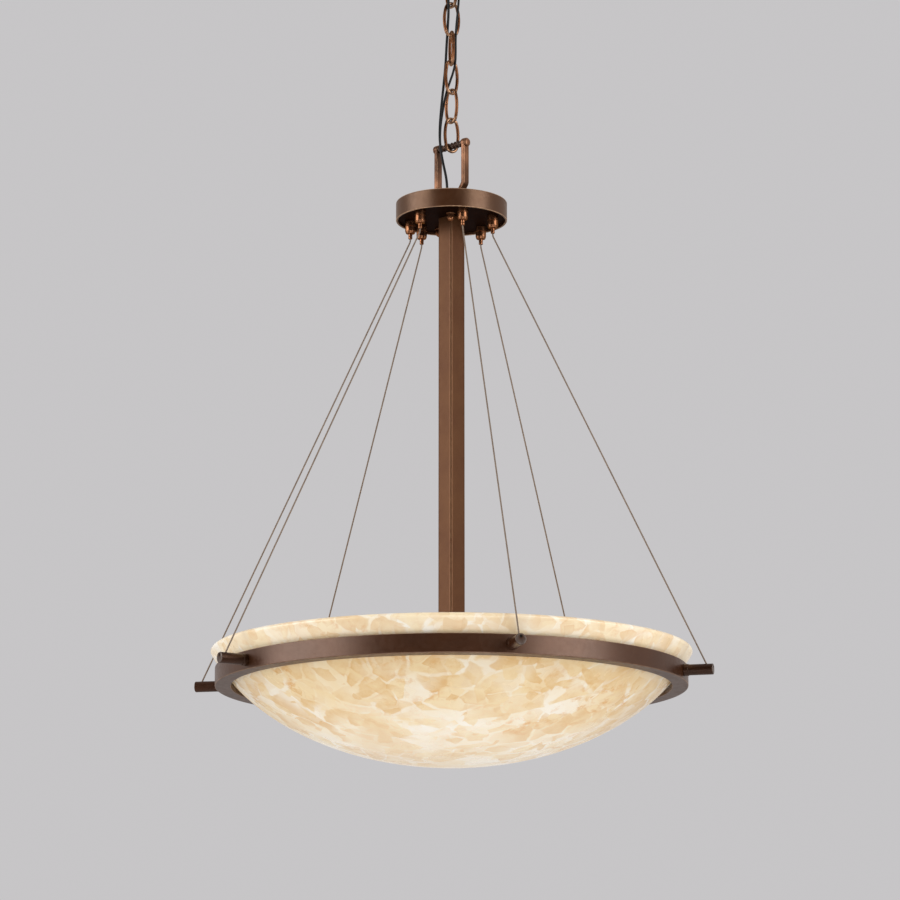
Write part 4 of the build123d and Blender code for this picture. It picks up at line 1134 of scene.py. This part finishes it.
def lamp_arm():
    """A short plain tube."""
    outer, bore, start, end, ease = 0.00485, 0.003, 0.014, 0.042, 0.0003
    return turned([(bore, start), (outer, start), (outer, end), (bore, end)], [0, ease, ease, 0], 32)


def lampholder():
    """A glazed holder with a neck, a sloping shoulder, a skirt with two rounded bands, and a cavity."""
    neck_r, holder_r, waist_r, cavity_r, bore = 0.008, 0.019, 0.0184, 0.0146, 0.0049
    start, neck, shoulder, floor, mouth = 0.032, 0.038, 0.046, 0.052, 0.082
    waist_start, waist_end, slope, ease = 0.056, 0.071, 0.001, 0.0004
    return turned(
        [(bore, start), (neck_r, start), (neck_r, neck), (holder_r, shoulder), (holder_r, waist_start),
         (waist_r, waist_start + slope), (waist_r, waist_end - slope), (holder_r, waist_end),
         (holder_r, mouth), (cavity_r, mouth), (cavity_r, floor), (bore, floor)],
        [0, 0.0015, 0.002, 0.003, ease, ease, ease, ease, 0.0018, 0.001, 0, 0], 64)


def bulb_envelope():
    """A blown envelope: a straight neck, a swell whose radius follows half a cosine wave, and a ball."""
    neck_r, ball_r, wall, start, tip = 0.0128, 0.030, 0.001, 0.0795, 0.1575
    ball, neck_end = tip - ball_r, start + neck_r

    def outline(inset):
        swell = np.linspace(0, 1, 28)
        rise = neck_end + swell * (ball - neck_end)
        reach = neck_r + (ball_r - neck_r) * (0.5 - 0.5 * np.cos(pi * swell))
        crown = arc(ball_r - inset, np.linspace(0, pi / 2, 26)[1:]) + (0, ball)
        return np.concatenate([[(neck_r - inset, start)], np.c_[reach - inset, rise], crown])

    return turned(np.concatenate([outline(wall)[::-1], outline(0.0)]), segments=64)


# Supply cord and earth wire
class PENDANT_OT_cords(Operator):
    """Supply cord and earth wire, each in spans cut at the chain's links"""
    bl_idname = "pendant.cords"
    bl_label = "Cord and wire"

    def execute(self, context):
        sizes = context.scene.pendant_sizes
        lace("supply_cord", CORD_POINTS, sizes.cord_diameter)
        lace("earth_wire", WIRE_POINTS, sizes.wire_diameter)
        return {"FINISHED"}


def lace(node, points, diameter):
    """A round cord along its route, cut in the middle of each link, so that each span meets the next span on
    the link that both follow there."""
    step, sides = 0.0012, 18
    line = spaced(route_line(points), step)
    end = len(line) - 1
    cuts = [int(np.abs(line[:, 2] - link_middles[number]).argmin()) for number in LINK_TURNS]
    for number, (first, last) in enumerate(zip([0] + cuts, cuts + [end]), 1):
        beyond = (int(first > 0), int(last < end))
        around = line[first - beyond[0]:last + 1 + beyond[1]]
        shape = carried(around, circle(diameter / 2, sides), (0, 1, 0), trim=beyond)
        piece = make_piece(f"{node}_span_{number}", shape, "cord_jacket", node, None)
        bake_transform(piece)


# Stage
class PENDANT_OT_stage(Operator):
    """Floor, lights, surround and camera"""
    bl_idname = "pendant.stage"
    bl_label = "Stage"

    floor_drop: length_property("Floor", "Floor below the ceiling", 4.2)
    floor_r: length_property("Floor radius", "Radius of the floor", 60.0)
    camera_aside: length_property("Camera aside", "Camera to the right of the stem", -0.0016)
    camera_back: length_property("Camera distance", "Camera in front of the stem", 3.497)
    camera_below: length_property("Camera drop", "Camera below the ring's underside", 0.501)
    camera_pitch: FloatProperty(
        name="Camera pitch", description="Upward tilt of the camera", subtype="ANGLE", default=radians(12.08))
    camera_lens: FloatProperty(name="Lens", description="Focal length in millimetres", default=138.9)

    def execute(self, context):
        scene = context.scene
        scene.view_settings.view_transform = "Standard"
        edge = circle(self.floor_r, 96)
        floor_mesh = bpy.data.meshes.new("floor")
        corners = np.c_[edge, np.full(len(edge), -self.floor_drop)]
        floor_mesh.from_pydata(corners.tolist(), [], [list(range(len(edge)))])
        floor_mesh.materials.append(finish_named("pale_floor"))
        floor = bpy.data.objects.new("floor", floor_mesh)
        scene.collection.objects.link(floor)
        scene.world = bpy.data.worlds.new("surround")
        scene.world.use_nodes = True
        surround_light(scene.world.node_tree, scene.pendant_colours)
        for name, values in LIGHTS.items():
            soft_light(name, *values)
        camera = bpy.data.objects.new("camera", bpy.data.cameras.new("camera"))
        camera.location = (self.camera_aside, -self.camera_back, ring_low - self.camera_below)
        camera.rotation_euler = (pi / 2 + self.camera_pitch, 0.0, 0.0)
        camera.data.lens = self.camera_lens
        camera.data.sensor_width = 36.0
        camera.data.clip_end = 200.0
        scene.collection.objects.link(camera)
        scene.camera = camera
        return {"FINISHED"}


def surround_light(tree, colours):
    """Pale light all round, except for a darker part above the floor on the viewer's side."""
    nodes = Nodes(tree)
    place = nodes.add("ShaderNodeTexCoord").outputs["Generated"]
    parts = nodes.add("ShaderNodeSeparateXYZ", Vector=place).outputs
    darker = nodes.times(nodes.span(parts["Y"], -0.25, -0.75, smooth=True),
                         nodes.span(parts["Z"], -0.05, 0.03, smooth=True))
    nodes.fill(tree.nodes["Background"], {"Color": nodes.mix(darker, colours.surround, colours.studio)})


def soft_light(name, place, width, height, power):
    """A soft light that points at the middle of the lamp."""
    data = bpy.data.lights.new(name, "AREA")
    data.shape = "RECTANGLE"
    data.size = width
    data.size_y = height
    data.energy = power
    light = bpy.data.objects.new(name, data)
    ahead = unit((ring_low + hub_top) / 2 * UP - place)
    light.location = place
    light.rotation_euler = (acos(-ahead[2]), 0.0, atan2(ahead[1], ahead[0]) - pi / 2)
    bpy.context.scene.collection.objects.link(light)


class PENDANT_PT_sidebar(Panel):
    """Operators of the pendant light"""
    bl_label = "Bowl pendant light"
    bl_space_type = "VIEW_3D"
    bl_region_type = "UI"
    bl_category = "Pendant"

    def draw(self, context):
        for operator in OPERATORS:
            self.layout.operator(operator.bl_idname)


OPERATORS = (
    PENDANT_OT_stage, PENDANT_OT_cords, PENDANT_OT_cables, PENDANT_OT_bowl, PENDANT_OT_ring, PENDANT_OT_hub,
    PENDANT_OT_grippers, PENDANT_OT_yoke, PENDANT_OT_chain, PENDANT_OT_stem, PENDANT_OT_lamps,
    PENDANT_OT_ceiling_mount)
CLASSES = (PendantSizes, PendantColours) + OPERATORS + (PENDANT_PT_sidebar,)


def register():
    for item in CLASSES:
        bpy.utils.register_class(item)
    bpy.types.Scene.pendant_sizes = PointerProperty(type=PendantSizes)
    bpy.types.Scene.pendant_colours = PointerProperty(type=PendantColours)


def unregister():
    del bpy.types.Scene.pendant_colours
    del bpy.types.Scene.pendant_sizes
    for item in reversed(CLASSES):
        bpy.utils.unregister_class(item)


def main():
    register()
    bpy.ops.pendant.stage()
    bpy.ops.pendant.cords()
    bpy.ops.pendant.cables()
    bpy.ops.pendant.bowl()
    bpy.ops.pendant.ring()
    bpy.ops.pendant.hub()
    bpy.ops.pendant.grippers()
    bpy.ops.pendant.yoke()
    bpy.ops.pendant.chain()
    bpy.ops.pendant.stem()
    bpy.ops.pendant.lamps()
    bpy.ops.pendant.ceiling_mount()


if __name__ == "__main__":
    main()
